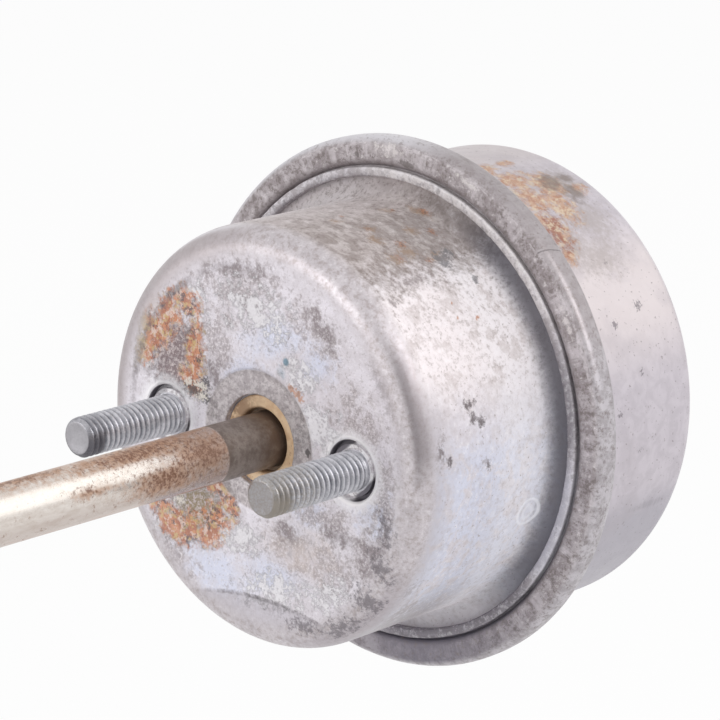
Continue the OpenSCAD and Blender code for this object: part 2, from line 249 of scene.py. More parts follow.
class Paint:
    """The node graph of one material, with masks and colours as sockets. Lengths are millimetres."""

    def __init__(self, name):
        self.mat = bpy.data.materials.new(name)
        self.mat.use_nodes = True
        self.tree = self.mat.node_tree
        self.shader = self.tree.nodes["Principled BSDF"]
        coord = self.add("ShaderNodeTexCoord")
        self.mm = self.vector("SCALE", coord.outputs["Object"], scale=1 / MM)
        split = self.add("ShaderNodeSeparateXYZ")
        self.link(self.mm, split.inputs[0])
        self.x, self.y, self.z = split.outputs
        self.r = self.reach(self.x, self.z)
        self.turn = self.op("DEGREES", self.op("ARCTAN2", self.z, self.x))
        self.flat = self.combine(self.x, self.z, 0.0)
        self.unrolled = self.combine(self.turn, self.y, 0.0)
        self.zones = []

    def seen_side(self):
        """1 on the side that the photograph shows, fading to 0 on the far side, whose finish is plain."""
        return self.step(self.op("ABSOLUTE", self.less(self.turn, 30)), 150, 110)

    def round_studs(self):
        """Distance from the nearer stud's axis, height over it, and reach along its upper left to lower right."""
        c, s = math.cos(STUD_CLOCK), math.sin(STUD_CLOCK)
        across = self.plus(self.times(self.x, c), self.times(self.z, s))
        height = self.less(self.times(self.z, c), self.times(self.x, s))
        across = self.less(across, self.times(self.op("SIGN", across), STUD_X))
        slant = self.times(self.op("ABSOLUTE", self.less(height, across)), math.sqrt(0.5))
        return self.reach(across, height), height, slant

    def add(self, kind, **settings):
        node = self.tree.nodes.new(kind)
        for key, value in settings.items():
            setattr(node, key, value)
        return node

    def link(self, source, socket):
        if isinstance(source, (int, float, tuple)):
            socket.default_value = source
        else:
            self.tree.links.new(source, socket)

    def op(self, kind, a, b=0.0, c=0.0, clamp=False):
        node = self.add("ShaderNodeMath", operation=kind, use_clamp=clamp)
        for source, socket in zip((a, b, c), node.inputs):
            self.link(source, socket)
        return node.outputs[0]

    def vector(self, kind, a, b=None, scale=None):
        node = self.add("ShaderNodeVectorMath", operation=kind)
        self.link(a, node.inputs[0])
        if b is not None:
            self.link(b, node.inputs[1])
        if scale is not None:
            node.inputs["Scale"].default_value = scale
        return node.outputs["Value" if kind == "LENGTH" else "Vector"]

    def combine(self, x, y, z):
        node = self.add("ShaderNodeCombineXYZ")
        for source, socket in zip((x, y, z), node.inputs):
            self.link(source, socket)
        return node.outputs[0]

    def reach(self, a, b):
        """Length of the hypotenuse of two sockets."""
        return self.op("SQRT", self.op("ADD", self.op("MULTIPLY", a, a), self.op("MULTIPLY", b, b)))

    def noise(self, size, detail=4.0, rough=0.55, where=None, warp=0.0, seed=0.0):
        """Cloudy noise from 0 to 1 with features about as large as size."""
        at = where if where is not None else self.mm
        if seed:
            at = self.vector("ADD", at, (seed, seed * 1.7, seed * 0.6))
        node = self.add("ShaderNodeTexNoise")
        self.link(at, node.inputs["Vector"])
        self.link(1 / size, node.inputs["Scale"])
        self.link(detail, node.inputs["Detail"])
        self.link(rough, node.inputs["Roughness"])
        self.link(warp, node.inputs["Distortion"])
        return node.outputs["Fac"]

    def step(self, value, low, high, to_low=0.0, to_high=1.0):
        """Soft step of a value between two limits, which may run downward."""
        node = self.add("ShaderNodeMapRange", interpolation_type="SMOOTHSTEP")
        if low > high:
            low, high, to_low, to_high = high, low, to_high, to_low
        for source, socket in zip((value, low, high, to_low, to_high), node.inputs):
            self.link(source, socket)
        return node.outputs[0]

    def times(self, *values):
        out = values[0]
        for value in values[1:]:
            out = self.op("MULTIPLY", out, value)
        return out

    def most(self, *values):
        out = values[0]
        for value in values[1:]:
            out = self.op("MAXIMUM", out, value)
        return out

    def plus(self, *values):
        out = values[0]
        for value in values[1:]:
            out = self.op("ADD", out, value)
        return out

    def less(self, a, b):
        return self.op("SUBTRACT", a, b)

    def mix(self, base, colour, mask):
        node = self.add("ShaderNodeMix", data_type="RGBA")
        self.link(mask, node.inputs["Factor"])
        self.link(base, node.inputs[6])
        self.link(colour, node.inputs[7])
        return node.outputs[2]

    def blend(self, a, b, mask):
        node = self.add("ShaderNodeMix", data_type="FLOAT")
        self.link(mask, node.inputs["Factor"])
        self.link(a, node.inputs[2])
        self.link(b, node.inputs[3])
        return node.outputs[0]

    def far(self, where, at, size, tilt=0.0):
        """Distance from the middle of an ellipse, 1 at its rim."""
        node = self.add("ShaderNodeMapping", vector_type="TEXTURE")
        self.link(where, node.inputs["Vector"])
        node.inputs["Location"].default_value = (at[0], at[1], 0)
        node.inputs["Rotation"].default_value = (0, 0, math.radians(tilt))
        node.inputs["Scale"].default_value = (size[0], size[1], 1)
        return self.vector("LENGTH", node.outputs[0])

    def blots(self, where, spots):
        """Soft ellipses, 1 in the middle and 0 at the rim, each a middle, a size and a tilt.

        They are kept as values of the mesh's points, which mark_zones works out.
        """
        name = f"{self.mat.name}_zone_{len(self.zones)}"
        self.zones.append((name, where == self.flat, spots))
        return self.add("ShaderNodeAttribute", attribute_name=name).outputs["Fac"]

    def mark_zones(self, obj):
        """Stores how far inside the ellipses each point of the mesh is."""
        mesh = obj.data
        points = np.empty(len(mesh.vertices) * 3)
        mesh.vertices.foreach_get("co", points)
        x, y, z = points.reshape(-1, 3).T / MM
        turn = np.degrees(np.arctan2(z, x))
        for name, is_flat, spots in self.zones:
            u, v = (x, z) if is_flat else (turn, y)
            value = np.zeros(len(x))
            for at, size, tilt in spots:
                c, s = math.cos(math.radians(tilt)), math.sin(math.radians(tilt))
                du, dv = u - at[0], v - at[1]
                along, across = (du * c + dv * s) / size[0], (dv * c - du * s) / size[1]
                value = np.maximum(value, 1 - np.hypot(along, across))
            mesh.attributes.new(name, "FLOAT", "POINT").data.foreach_set("value", value)

    def grainy(self, zone, grain, spread=2.0, low=0.25, high=0.6):
        """Breaks a soft zone up into grains and crumbs."""
        value = self.plus(zone, self.times(self.less(grain, 0.5), spread))
        return self.times(self.step(value, low, high), self.step(zone, 0.0, 0.14))

    def stroke(self, distance, width):
        """1 on a line where the distance is nought, and 0 beyond the width."""
        return self.step(self.op("ABSOLUTE", distance), width, width * 0.3)

    def around(self, stretch, along):
        """Coordinates that stretch noise round the cans."""
        return self.combine(
            self.times(self.op("DIVIDE", self.x, self.r), stretch),
            self.times(self.y, along),
            self.times(self.op("DIVIDE", self.z, self.r), stretch),
        )

    def surface(self, colour, metallic, rough, height=None, **constants):
        self.link(colour, self.shader.inputs["Base Color"])
        self.link(metallic, self.shader.inputs["Metallic"])
        self.link(rough, self.shader.inputs["Roughness"])
        if height is not None:
            bump = self.add("ShaderNodeBump")
            bump.inputs["Strength"].default_value = 1.0
            bump.inputs["Distance"].default_value = MM
            self.link(height, bump.inputs["Height"])
            self.link(bump.outputs[0], self.shader.inputs["Normal"])
        for key, value in constants.items():
            self.shader.inputs[key.replace("_", " ")].default_value = value
        return self


def rust_tint(p, seed):
    """Rust of several colours, in grains."""
    tint = p.mix(srgb(222, 152, 112), srgb(190, 118, 84), p.step(p.noise(1.4, 7, 0.72, seed=seed), 0.43, 0.56))
    tint = p.mix(tint, srgb(238, 210, 196), p.step(p.noise(1.3, 7, 0.72, seed=seed + 3), 0.49, 0.57))
    tint = p.mix(tint, srgb(112, 86, 84), p.step(p.noise(1.5, 7, 0.72, seed=seed + 6), 0.52, 0.6))
    return p.mix(tint, srgb(222, 194, 134), p.times(p.step(p.noise(1.5, 5, 0.7, seed=seed + 9), 0.52, 0.6), 0.8))


def face_colour(p, grain, fine, mid):
    """Colour of the flat front face, and the mask of its crusts."""
    at = p.flat
    dust = p.noise(0.45, 5, 0.75, seed=23)
    clump = p.noise(2.0, 8, 0.68, seed=27)
    colour = p.mix(srgb(212, 206, 212), srgb(228, 223, 230), p.step(mid, 0.36, 0.64))
    blue = p.blots(at, [
        ((4, 15.5), (10, 4.5), 10), ((12, 13.5), (6, 5), 0), ((-9, -21), (12, 5.5), -12), ((23, -6), (6, 7), 0),
        ((7, -14), (5, 5), 0), ((3, -19), (10, 5), 0), ((-2, 9), (8, 5), 0), ((10, -9), (5, 3), 0),
    ])
    colour = p.mix(colour, srgb(212, 217, 236), p.times(p.grainy(blue, mid, 1.6, 0.1, 0.9), 0.7))
    grey = p.blots(at, [
        ((-3, 22), (13, 6), 6), ((11.5, 18), (9, 4.4), -35), ((-8, 13), (6, 10), 0), ((19, 5), (7, 9), 20),
        ((24, -4), (4.6, 12), 6), ((21.5, -13), (8, 6), 60), ((6, -14), (8, 5), -15), ((13, -9), (10, 4), -5),
        ((-17, -20), (8, 3.6), -30), ((14, -16), (8, 5.5), 0), ((-15, 11), (11, 10), 0), ((-13, -11), (11, 7), 0),
    ])
    grey_tint = p.mix(srgb(158, 148, 151), srgb(200, 192, 195), p.step(dust, 0.42, 0.58))
    colour = p.mix(colour, grey_tint, p.times(p.grainy(grey, clump, 3.8, 0.2, 0.85), 0.8))
    beige = p.blots(at, [((8, -15), (10, 6), 0), ((-22, 17), (5, 6), 40), ((20, -1), (6, 6), 0)])
    colour = p.mix(colour, srgb(206, 192, 186), p.times(p.grainy(beige, mid, 2.0, 0.1, 0.9), 0.6))
    dark = p.blots(at, [((22, -12.5), (6, 4.4), 55), ((12.5, 18.5), (7, 3), -35), ((-3, 24.6), (12, 2.6), 4),
                        ((15.5, -11), (6, 2.6), -10), ((-9, 9), (3.4, 5), 20), ((5.5, -12.5), (4, 3), 0), ((24.5, 12), (3, 9), 25)])
    colour = p.mix(colour, srgb(124, 113, 116), p.times(p.grainy(dark, clump, 3.0, 0.15, 1.0), 0.62))
    colour = p.mix(colour, srgb(152, 141, 142), p.times(p.step(fine, 0.54, 0.66), 0.4))
    colour = p.mix(colour, srgb(158, 148, 151), p.times(p.step(clump, 0.42, 0.34), 0.45))
    colour = p.mix(colour, srgb(248, 245, 249), p.times(p.step(dust, 0.53, 0.64), 0.4))

    bloom_zone = p.blots(at, [
        ((-11.8, 19.6), (3.4, 3), 20), ((-11.5, 16.6), (2.8, 2.8), 0), ((0, 19), (10, 6), -12), ((11, 4), (7, 5), 10),
        ((3, -21.5), (10, 4.4), 10), ((14, -20), (7, 4), 20), ((-21.5, 8), (2.6, 2.2), 0), ((-15.5, 8.8), (3, 2), 0),
        ((8, 11), (5, 4), 0), ((-19, -16.5), (5, 3), -30), ((-16, 19), (2, 2), 0), ((-4, -15), (7, 4), 0),
    ])
    bloom = p.grainy(bloom_zone, p.noise(1.1, 7, 0.74, seed=21), 4.0, 0.4, 0.8)
    colour = p.mix(colour, srgb(247, 244, 248), p.times(bloom, 0.85))

    umber_zone = p.blots(at, [((-17, 11), (7, 6.5), 0), ((-12, -12), (6.5, 5), 10), ((-16, 7.5), (7, 4), 0)])
    umber = p.grainy(umber_zone, grain, 2.2, 0.05, 0.7)
    umber_tint = p.mix(srgb(136, 116, 118), srgb(156, 138, 106), p.step(p.z, 0.0, -6.0))
    umber_tint = p.mix(umber_tint, srgb(216, 202, 202), p.step(p.noise(0.6, 6, 0.8, seed=25), 0.48, 0.58))
    colour = p.mix(colour, umber_tint, p.times(umber, 0.85))
    rust_zone = p.blots(at, [
        ((-13.8, 18.2), (4, 3.2), -20), ((-17, 16.4), (4.6, 3.8), 25), ((-20, 13.4), (4, 4), 0),
        ((-21.8, 10.5), (2.6, 4.2), -20), ((-12.2, 10.8), (2.8, 7), 0), ((-13, 7.2), (3.4, 3), 0),
        ((-17, -15.6), (5, 3.4), -30), ((-13.4, -15.4), (4.4, 3.4), 10), ((-9.6, -15.2), (4.4, 3.2), 20),
        ((-20, -13.2), (4.4, 2.6), -20), ((-5.8, -10.4), (2.6, 4), 10), ((-7.4, -8.2), (4, 2), -15), ((-8, -12.6), (3.8, 3), 0),
    ])
    rust = p.grainy(rust_zone, p.noise(1.5, 7, 0.76, seed=41, warp=0.3), 3.0, 0.04, 0.6)
    colour = p.mix(colour, rust_tint(p, 43), p.times(rust, 0.85))
    ochre = p.grainy(p.blots(at, [((-23.4, 10.5), (2, 5.4), -15), ((-22.6, 14), (2.4, 3), 0)]), grain, 2.4, 0.2, 0.9)
    colour = p.mix(colour, srgb(212, 196, 168), p.times(ochre, 0.55))
    soot = p.grainy(p.blots(at, [((-12.8, 5.6), (4.4, 1.7), 8), ((-9.8, 4.4), (2.8, 1.3), -20), ((-10.5, 6.6), (2.4, 1.4), 30)]),
                    p.noise(0.45, 4, 0.7, seed=57), 3.0, 0.3, 0.7)
    colour = p.mix(colour, srgb(84, 80, 82), p.times(soot, 0.8))
    chalk = p.grainy(p.blots(at, [((-11.2, 6.3), (2.4, 1), -10), ((-11, 4.8), (2.2, 1), 20), ((-9.2, 2.4), (1.5, 0.6), -5),
                                  ((-15.8, -11.6), (1.8, 1.2), 10), ((-13.6, 6.6), (1.8, 1), 40)]),
                     p.noise(0.4, 4, 0.7, seed=59), 3.0, 0.3, 0.7)
    colour = p.mix(colour, srgb(240, 233, 224), p.times(chalk, 0.85))
    teal = p.most(p.step(p.far(at, (5.7, 12.6), (0.6, 0.6)), 1.2, 0.6),
                  p.times(p.grainy(p.blots(at, [((4.9, 11), (1.5, 2.1), 20)]), grain, 1.4, 0.3, 0.9), 0.45))
    colour = p.mix(colour, srgb(112, 146, 164), p.times(teal, 0.85))

    from_hole, _, slant = p.round_studs()
    # Painted highlight: a bright ragged ring round each stud hole, where its raised lip catches light.
    rim = p.times(p.step(p.plus(from_hole, p.times(p.less(grain, 0.5), 5)), 6.6, 5.0), p.step(from_hole, 4.2, 4.5))
    colour = p.mix(colour, srgb(246, 244, 248), p.times(rim, 0.7))
    # Painted light and shade on the holes' lips: a brighter ring, white on the lit sides, and dark painted shadow
    # crescents on the upper left and lower right.
    hole_lip_light_and_shade = p.mix(srgb(252, 250, 252), srgb(110, 106, 114), p.step(slant, 2.6, 3.6))
    colour = p.mix(colour, srgb(252, 250, 252), p.times(p.step(from_hole, 5.2, 4.8), 0.7))
    colour = p.mix(colour, hole_lip_light_and_shade, p.step(from_hole, 4.5, 4.36))
    lower_curve = p.less(p.reach(p.plus(p.x, 0.13), p.plus(p.z, 72.84)), p.plus(49.3, p.times(mid, 0.5)))
    below = p.step(lower_curve, 0.3, -0.3)
    colour = p.mix(colour, p.mix(srgb(194, 189, 196), srgb(178, 172, 178), p.step(grain, 0.4, 0.6)), p.times(below, 0.7))
    broken = p.step(p.noise(2.2, 5, 0.75, seed=63), 0.34, 0.66)
    colour = p.mix(colour, srgb(116, 109, 113), p.times(p.stroke(lower_curve, 0.45), broken, 0.8))
    left_line = p.times(p.stroke(p.less(p.r, 25.4), 0.9), p.step(p.x, -3, -9), p.step(p.z, -2, 3), broken)
    colour = p.mix(colour, srgb(122, 112, 116), p.times(left_line, 0.6))
    scuff = p.times(p.stroke(p.less(p.far(at, (9, -4), (17.6, 20)), 1.0), 0.03), p.step(p.x, 20, 24), broken)
    colour = p.mix(colour, srgb(230, 226, 230), p.times(scuff, 0.6))
    return colour, p.most(rust, umber, bloom, ochre, soot, chalk)


def edge_colour(p, mid):
    """Colour of the rounded front edge, where face and wall meet, with a painted highlight on its upper left, painted
    shade on its lower right and a painted dark reflection on its right.
    """
    colour = p.mix(srgb(204, 197, 201), srgb(190, 183, 187), p.step(mid, 0.36, 0.68))
    grain = p.noise(0.8, 8, 0.8, seed=91)
    colour = p.mix(colour, srgb(158, 145, 142), p.times(p.step(grain, 0.49, 0.6), 0.6))
    colour = p.mix(colour, srgb(232, 228, 230), p.times(p.step(grain, 0.46, 0.36), 0.5))
    left = p.most(p.step(p.turn, 84, 112), p.step(p.turn, -150, -168))
    colour = p.mix(colour, srgb(168, 158, 160), p.times(left, 0.7))
    # Painted highlight on the wall side of the rounding, on the upper left and left.
    edge_highlight = p.times(p.step(p.turn, 92, 106), p.step(p.y, 1.4, 2.8), 0.65)
    colour = p.mix(colour, srgb(244, 242, 248), edge_highlight)
    # Painted shade: darker on the lower right of the rounding's outer part.
    low = p.times(p.step(p.turn, -24, -40), p.step(p.turn, -84, -66), p.step(p.r, 28.4, 30))
    colour = p.mix(colour, srgb(170, 162, 168), p.times(low, 0.6))
    # Painted dark reflection: a dark line along the rounding on the right.
    right = p.times(p.step(p.turn, -6, 8), p.step(p.turn, 42, 28), p.stroke(p.less(p.r, 30.0), 1.3))
    return p.mix(colour, srgb(138, 130, 133), p.times(right, 0.75))


def front_face_paint():
    """The front can from its middle to half way round its rounded edge."""
    p = Paint("zinc_front_face")
    grain = p.noise(0.9, 8, 0.76)
    fine = p.noise(0.42, 4, 0.65, seed=5)
    mid = p.noise(2.8, 6, 0.66, warp=0.5, seed=9)
    face_paint, crust = face_colour(p, grain, fine, mid)

    ring = p.times(p.step(p.r, COINED_R + 0.1, COINED_R - 0.25), p.step(p.y, 1.0, 0.6))
    ring_tint = p.mix(srgb(206, 199, 200), srgb(172, 163, 165), p.step(grain, 0.42, 0.58))
    ring_tint = p.mix(ring_tint, srgb(134, 127, 129), p.times(p.step(fine, 0.53, 0.64), 0.5))
    face_paint = p.mix(face_paint, ring_tint, p.times(ring, 0.95))
    # Painted highlight along the coined ring's edge on its upper right.
    coin_edge_highlight = p.times(p.stroke(p.less(p.r, COINED_R + 0.2), 0.45), p.step(p.turn, -5, 10), p.step(p.turn, 75, 50))
    face_paint = p.mix(face_paint, srgb(232, 228, 230), p.times(coin_edge_highlight, p.step(grain, 0.4, 0.6), 0.8))
    # Painted shade: two small dark marks where the face has small dimples.
    dimple_shade = p.grainy(p.blots(p.flat, [((9.6, 0.1), (0.7, 1.1), 20), ((8.4, -4.6), (1.2, 0.7), -20)]), fine, 1.0, 0.2, 0.5)
    face_paint = p.mix(face_paint, srgb(84, 78, 80), p.times(dimple_shade, 0.85))
    rim_spots = p.grainy(p.blots(p.flat, [((8, 8.2), (1.8, 1), -40), ((6.6, 9), (1, 0.8), 0)]), fine, 2.0, 0.25, 0.6)
    face_paint = p.mix(face_paint, srgb(206, 160, 136), p.times(rim_spots, 0.8))

    edge = p.step(p.r, 25.5, 28.5)
    colour = p.mix(face_paint, edge_colour(p, mid), edge)
    smear = p.grainy(p.blots(p.flat, [
        ((24.4, -8), (2.4, 5), 10), ((23.4, -14), (2.8, 5), 25), ((20.8, -19.6), (3.4, 5), 48), ((15.5, -24.6), (6, 2.8), 30),
        ((9, -25.6), (6, 2), 0),
    ]), grain, 4.6, 0.25, 0.95)
    colour = p.mix(colour, srgb(104, 98, 104), p.times(smear, 0.72))
    crust = p.times(crust, p.less(1.0, edge))
    metallic = p.blend(0.5, 0.1, crust)
    rough = p.plus(p.blend(p.blend(0.5, 0.38, edge), 0.75, crust), p.times(p.less(mid, 0.5), 0.25))
    height = p.plus(p.times(grain, p.blend(0.1, 0.012, edge)), p.times(fine, 0.02), p.times(crust, grain, 0.16))
    return p.surface(colour, metallic, rough, height)


def front_wall_paint():
    """The front can's wall: a pale warm painted highlight where it shines, bluish lower down, partly its own tint and
    partly painted reflection, painted shade low down and into the seam, and brown film with spots on top.
    """
    p = Paint("zinc_front_wall")
    grain = p.noise(0.9, 8, 0.76)
    fine = p.noise(0.42, 4, 0.65, seed=5)
    mid = p.noise(2.8, 6, 0.66, warp=0.5, seed=9)
    broad = p.noise(9, 4, 0.55, warp=0.8, seed=13)
    at = p.unrolled
    wiped = p.noise(1.4, 7, 0.76, where=p.around(14, 0.8), seed=17)
    seen = p.seen_side()
    colour = p.mix(srgb(226, 219, 224), srgb(212, 206, 212), p.step(mid, 0.38, 0.66))
    # Painted highlight: a pale warm zone round the upper right of the wall, where it shines; the grain is stronger
    # there.
    sheen_band = p.times(p.step(p.turn, 56, 46), p.step(p.turn, 12, 26))
    colour = p.mix(colour, srgb(240, 231, 232), p.times(sheen_band, 0.75))
    # Bluish on the lower right: partly the zinc's own tint and partly a painted reflection.
    lilac_and_reflection = p.times(p.step(p.turn, 16, -2), p.step(p.turn, -62, -42))
    lilac_tint = p.mix(srgb(208, 212, 230), srgb(216, 211, 218), p.step(mid, 0.45, 0.62))
    colour = p.mix(colour, lilac_tint, p.times(lilac_and_reflection, 0.8))
    # Painted light: lighter further back, from 12 mm behind the front face on.
    colour = p.mix(colour, srgb(248, 246, 250), p.times(p.step(p.y, 12, 22), 0.4))
    # Painted shade: darker low down on the seen side, near the front.
    colour = p.mix(colour, srgb(152, 146, 151), p.times(p.step(p.turn, -32, -56), p.step(p.y, 25, 12), seen, 0.85))
    colour = p.mix(colour, srgb(172, 160, 158), p.times(p.step(grain, 0.5, 0.64), p.blend(0.34, 0.66, sheen_band)))
    colour = p.mix(colour, srgb(190, 178, 176), p.times(p.step(p.noise(3.4, 7, 0.7, seed=75), 0.5, 0.6), p.blend(0.2, 0.5, sheen_band)))
    colour = p.mix(colour, srgb(250, 247, 250), p.times(p.step(grain, 0.48, 0.34), 0.4))
    # Painted dark reflection: grey near the front edge, from the right downwards.
    edge_dark_reflection = p.times(p.step(p.y, 9, 2), p.step(p.turn, 26, 12), seen)
    colour = p.mix(colour, srgb(184, 178, 184), p.times(edge_dark_reflection, 0.7))
    film_zone = p.plus(p.step(p.turn, 38, 66), p.times(p.less(grain, 0.5), 2.0), p.times(p.less(mid, 0.5), 1.2))
    film = p.times(p.step(film_zone, 0.1, 0.95), p.step(p.turn, 36, 50), seen)
    film_tint = p.mix(srgb(186, 175, 173), srgb(156, 144, 140), p.step(mid, 0.42, 0.56))
    film_tint = p.mix(film_tint, srgb(198, 188, 188), p.times(p.step(p.turn, 76, 94), 0.7))
    film_tint = p.mix(film_tint, srgb(226, 220, 222), p.times(p.step(p.turn, 92, 108), 0.6))
    film_tint = p.mix(film_tint, srgb(144, 134, 131), p.times(p.step(p.y, 12, 22), p.step(p.turn, 84, 70), 0.6))
    film_tint = p.mix(film_tint, srgb(124, 111, 106), p.times(p.step(grain, 0.5, 0.6), 0.6))
    film_tint = p.mix(film_tint, srgb(214, 206, 204), p.times(p.step(wiped, 0.5, 0.6), 0.4))
    colour = p.mix(colour, film_tint, p.times(film, 0.92))
    halo = p.blots(at, [
        ((61.5, 15.4), (5, 3), 0), ((69, 12.6), (5, 2.4), 0), ((82, 12), (3, 2), 10), ((69.5, 20.6), (5, 2.4), 0), ((57.5, 19.6), (4, 3), 0),
        ((77, 26.6), (8, 1.4), 0), ((82, 22.6), (4, 2), 0), ((74, 14.5), (4, 2.4), 0), ((60, 12), (5, 2), 0),
    ])
    halo_mask = p.grainy(halo, p.noise(0.8, 7, 0.8, seed=73), 3.0, 0.3, 1.0)
    colour = p.mix(colour, srgb(158, 132, 110), p.times(halo_mask, 0.7))
    brown = p.grainy(p.blots(at, [
        ((64.8, 16), (3, 1.8), 0), ((60, 13), (2.6, 1.2), 0), ((66.8, 23.7), (3, 1.6), 0), ((75.5, 27), (4, 0.9), 0), ((81.3, 23.6), (2, 1), 0),
        ((74.4, 14.2), (2, 1), 0), ((84.5, 14.6), (1.6, 0.8), 0), ((57, 17.6), (2, 1.2), 0),
    ]), p.noise(0.7, 7, 0.8, seed=77), 3.0, 0.25, 0.95)
    colour = p.mix(colour, p.mix(srgb(176, 124, 92), srgb(124, 94, 80), p.step(fine, 0.44, 0.56)), p.times(brown, 0.75))
    slate = p.grainy(p.blots(at, [((56, 20), (5.5, 2.4), 0), ((58, 22), (4, 1.6), 0), ((48, 23), (3, 1), 0)]), grain, 2.4, 0.3, 0.7)
    colour = p.mix(colour, srgb(122, 120, 124), p.times(slate, 0.8))
    stain = p.grainy(p.blots(at, [((10.6, 13.2), (2.3, 1.2), 0), ((12.4, 11.6), (2.4, 1), 0), ((16, 11), (1.6, 1.4), 0), ((16.4, 12.6), (0.8, 1), 0),
                             ((6, 4.2), (2.4, 0.9), 0), ((2.9, 5.7), (2, 0.9), 0), ((-1, 14.2), (1.6, 1), 0)]),
                     grain, 3.4, 0.1, 0.75)
    colour = p.mix(colour, srgb(96, 86, 88), p.times(stain, 0.85))
    smudge = p.grainy(p.blots(at, [((5, 3.8), (8, 2.4), 0), ((10, 4.6), (3, 1.4), 0), ((-35, 4), (6, 3), 0), ((-46, 7), (9, 6), 0),
                                   ((47, 5), (3, 2), 0), ((52, 12), (4, 8), 0), ((0, 13.5), (2.6, 2.2), 0)]), grain, 3.6, 0.45, 0.95)
    colour = p.mix(colour, srgb(150, 140, 142), p.times(smudge, 0.55))
    speck = p.times(p.step(p.noise(0.5, 2, 0.5, seed=71), 0.67, 0.72), 0.55)
    colour = p.mix(colour, srgb(150, 134, 130), speck)
    rust_dots = p.grainy(p.blots(at, [((37.4, 19), (0.8, 0.8), 0), ((38, 15.2), (0.5, 0.6), 0), ((42, 19.4), (0.5, 0.5), 0), ((43, 15.6), (0.5, 0.5), 0)]),
                         fine, 1.0, 0.2, 0.5)
    colour = p.mix(colour, srgb(186, 132, 100), p.times(rust_dots, 0.85))
    # Darker into the seam: partly dirt and partly painted shade of the crease, strongest on the right.
    seam_dirt_and_shade = p.times(p.step(p.plus(p.y, p.times(p.less(grain, 0.5), 1.4)), 25.4, 28.4), seen)
    seam_shade_share = p.times(p.step(p.turn, 72, 48, 0.1, 0.85), p.step(p.turn, -62, -34, 0.35, 1.0))
    colour = p.mix(colour, srgb(92, 90, 100), p.times(seam_dirt_and_shade, seam_shade_share))
    # The embossed oval's lines are painted lighter: a painted highlight on their raised edges.
    oval = p.far(at, (-19, 25), (4.4, 2.3))
    oval_line = p.most(p.stroke(p.less(oval, 0.88), 0.17), p.times(p.stroke(p.less(oval, 0.42), 0.2), 0.7))
    colour = p.mix(colour, srgb(246, 246, 252), p.times(oval_line, 0.6))

    past_edge = p.step(p.y, 1.8, 4.2)
    colour = p.mix(edge_colour(p, mid), colour, past_edge)
    matte = p.most(p.times(film, past_edge, 0.75), p.step(p.y, 12, 24))
    metallic = p.blend(0.4, 0.1, matte)
    rough = p.plus(p.blend(0.4, 0.75, matte), p.times(p.less(mid, 0.5), 0.25))
    height = p.plus(p.times(grain, 0.014), p.times(fine, 0.006), p.times(wiped, 0.012), p.times(broad, 0.08), p.times(oval_line, 0.06))
    return p.surface(colour, metallic, rough, height)


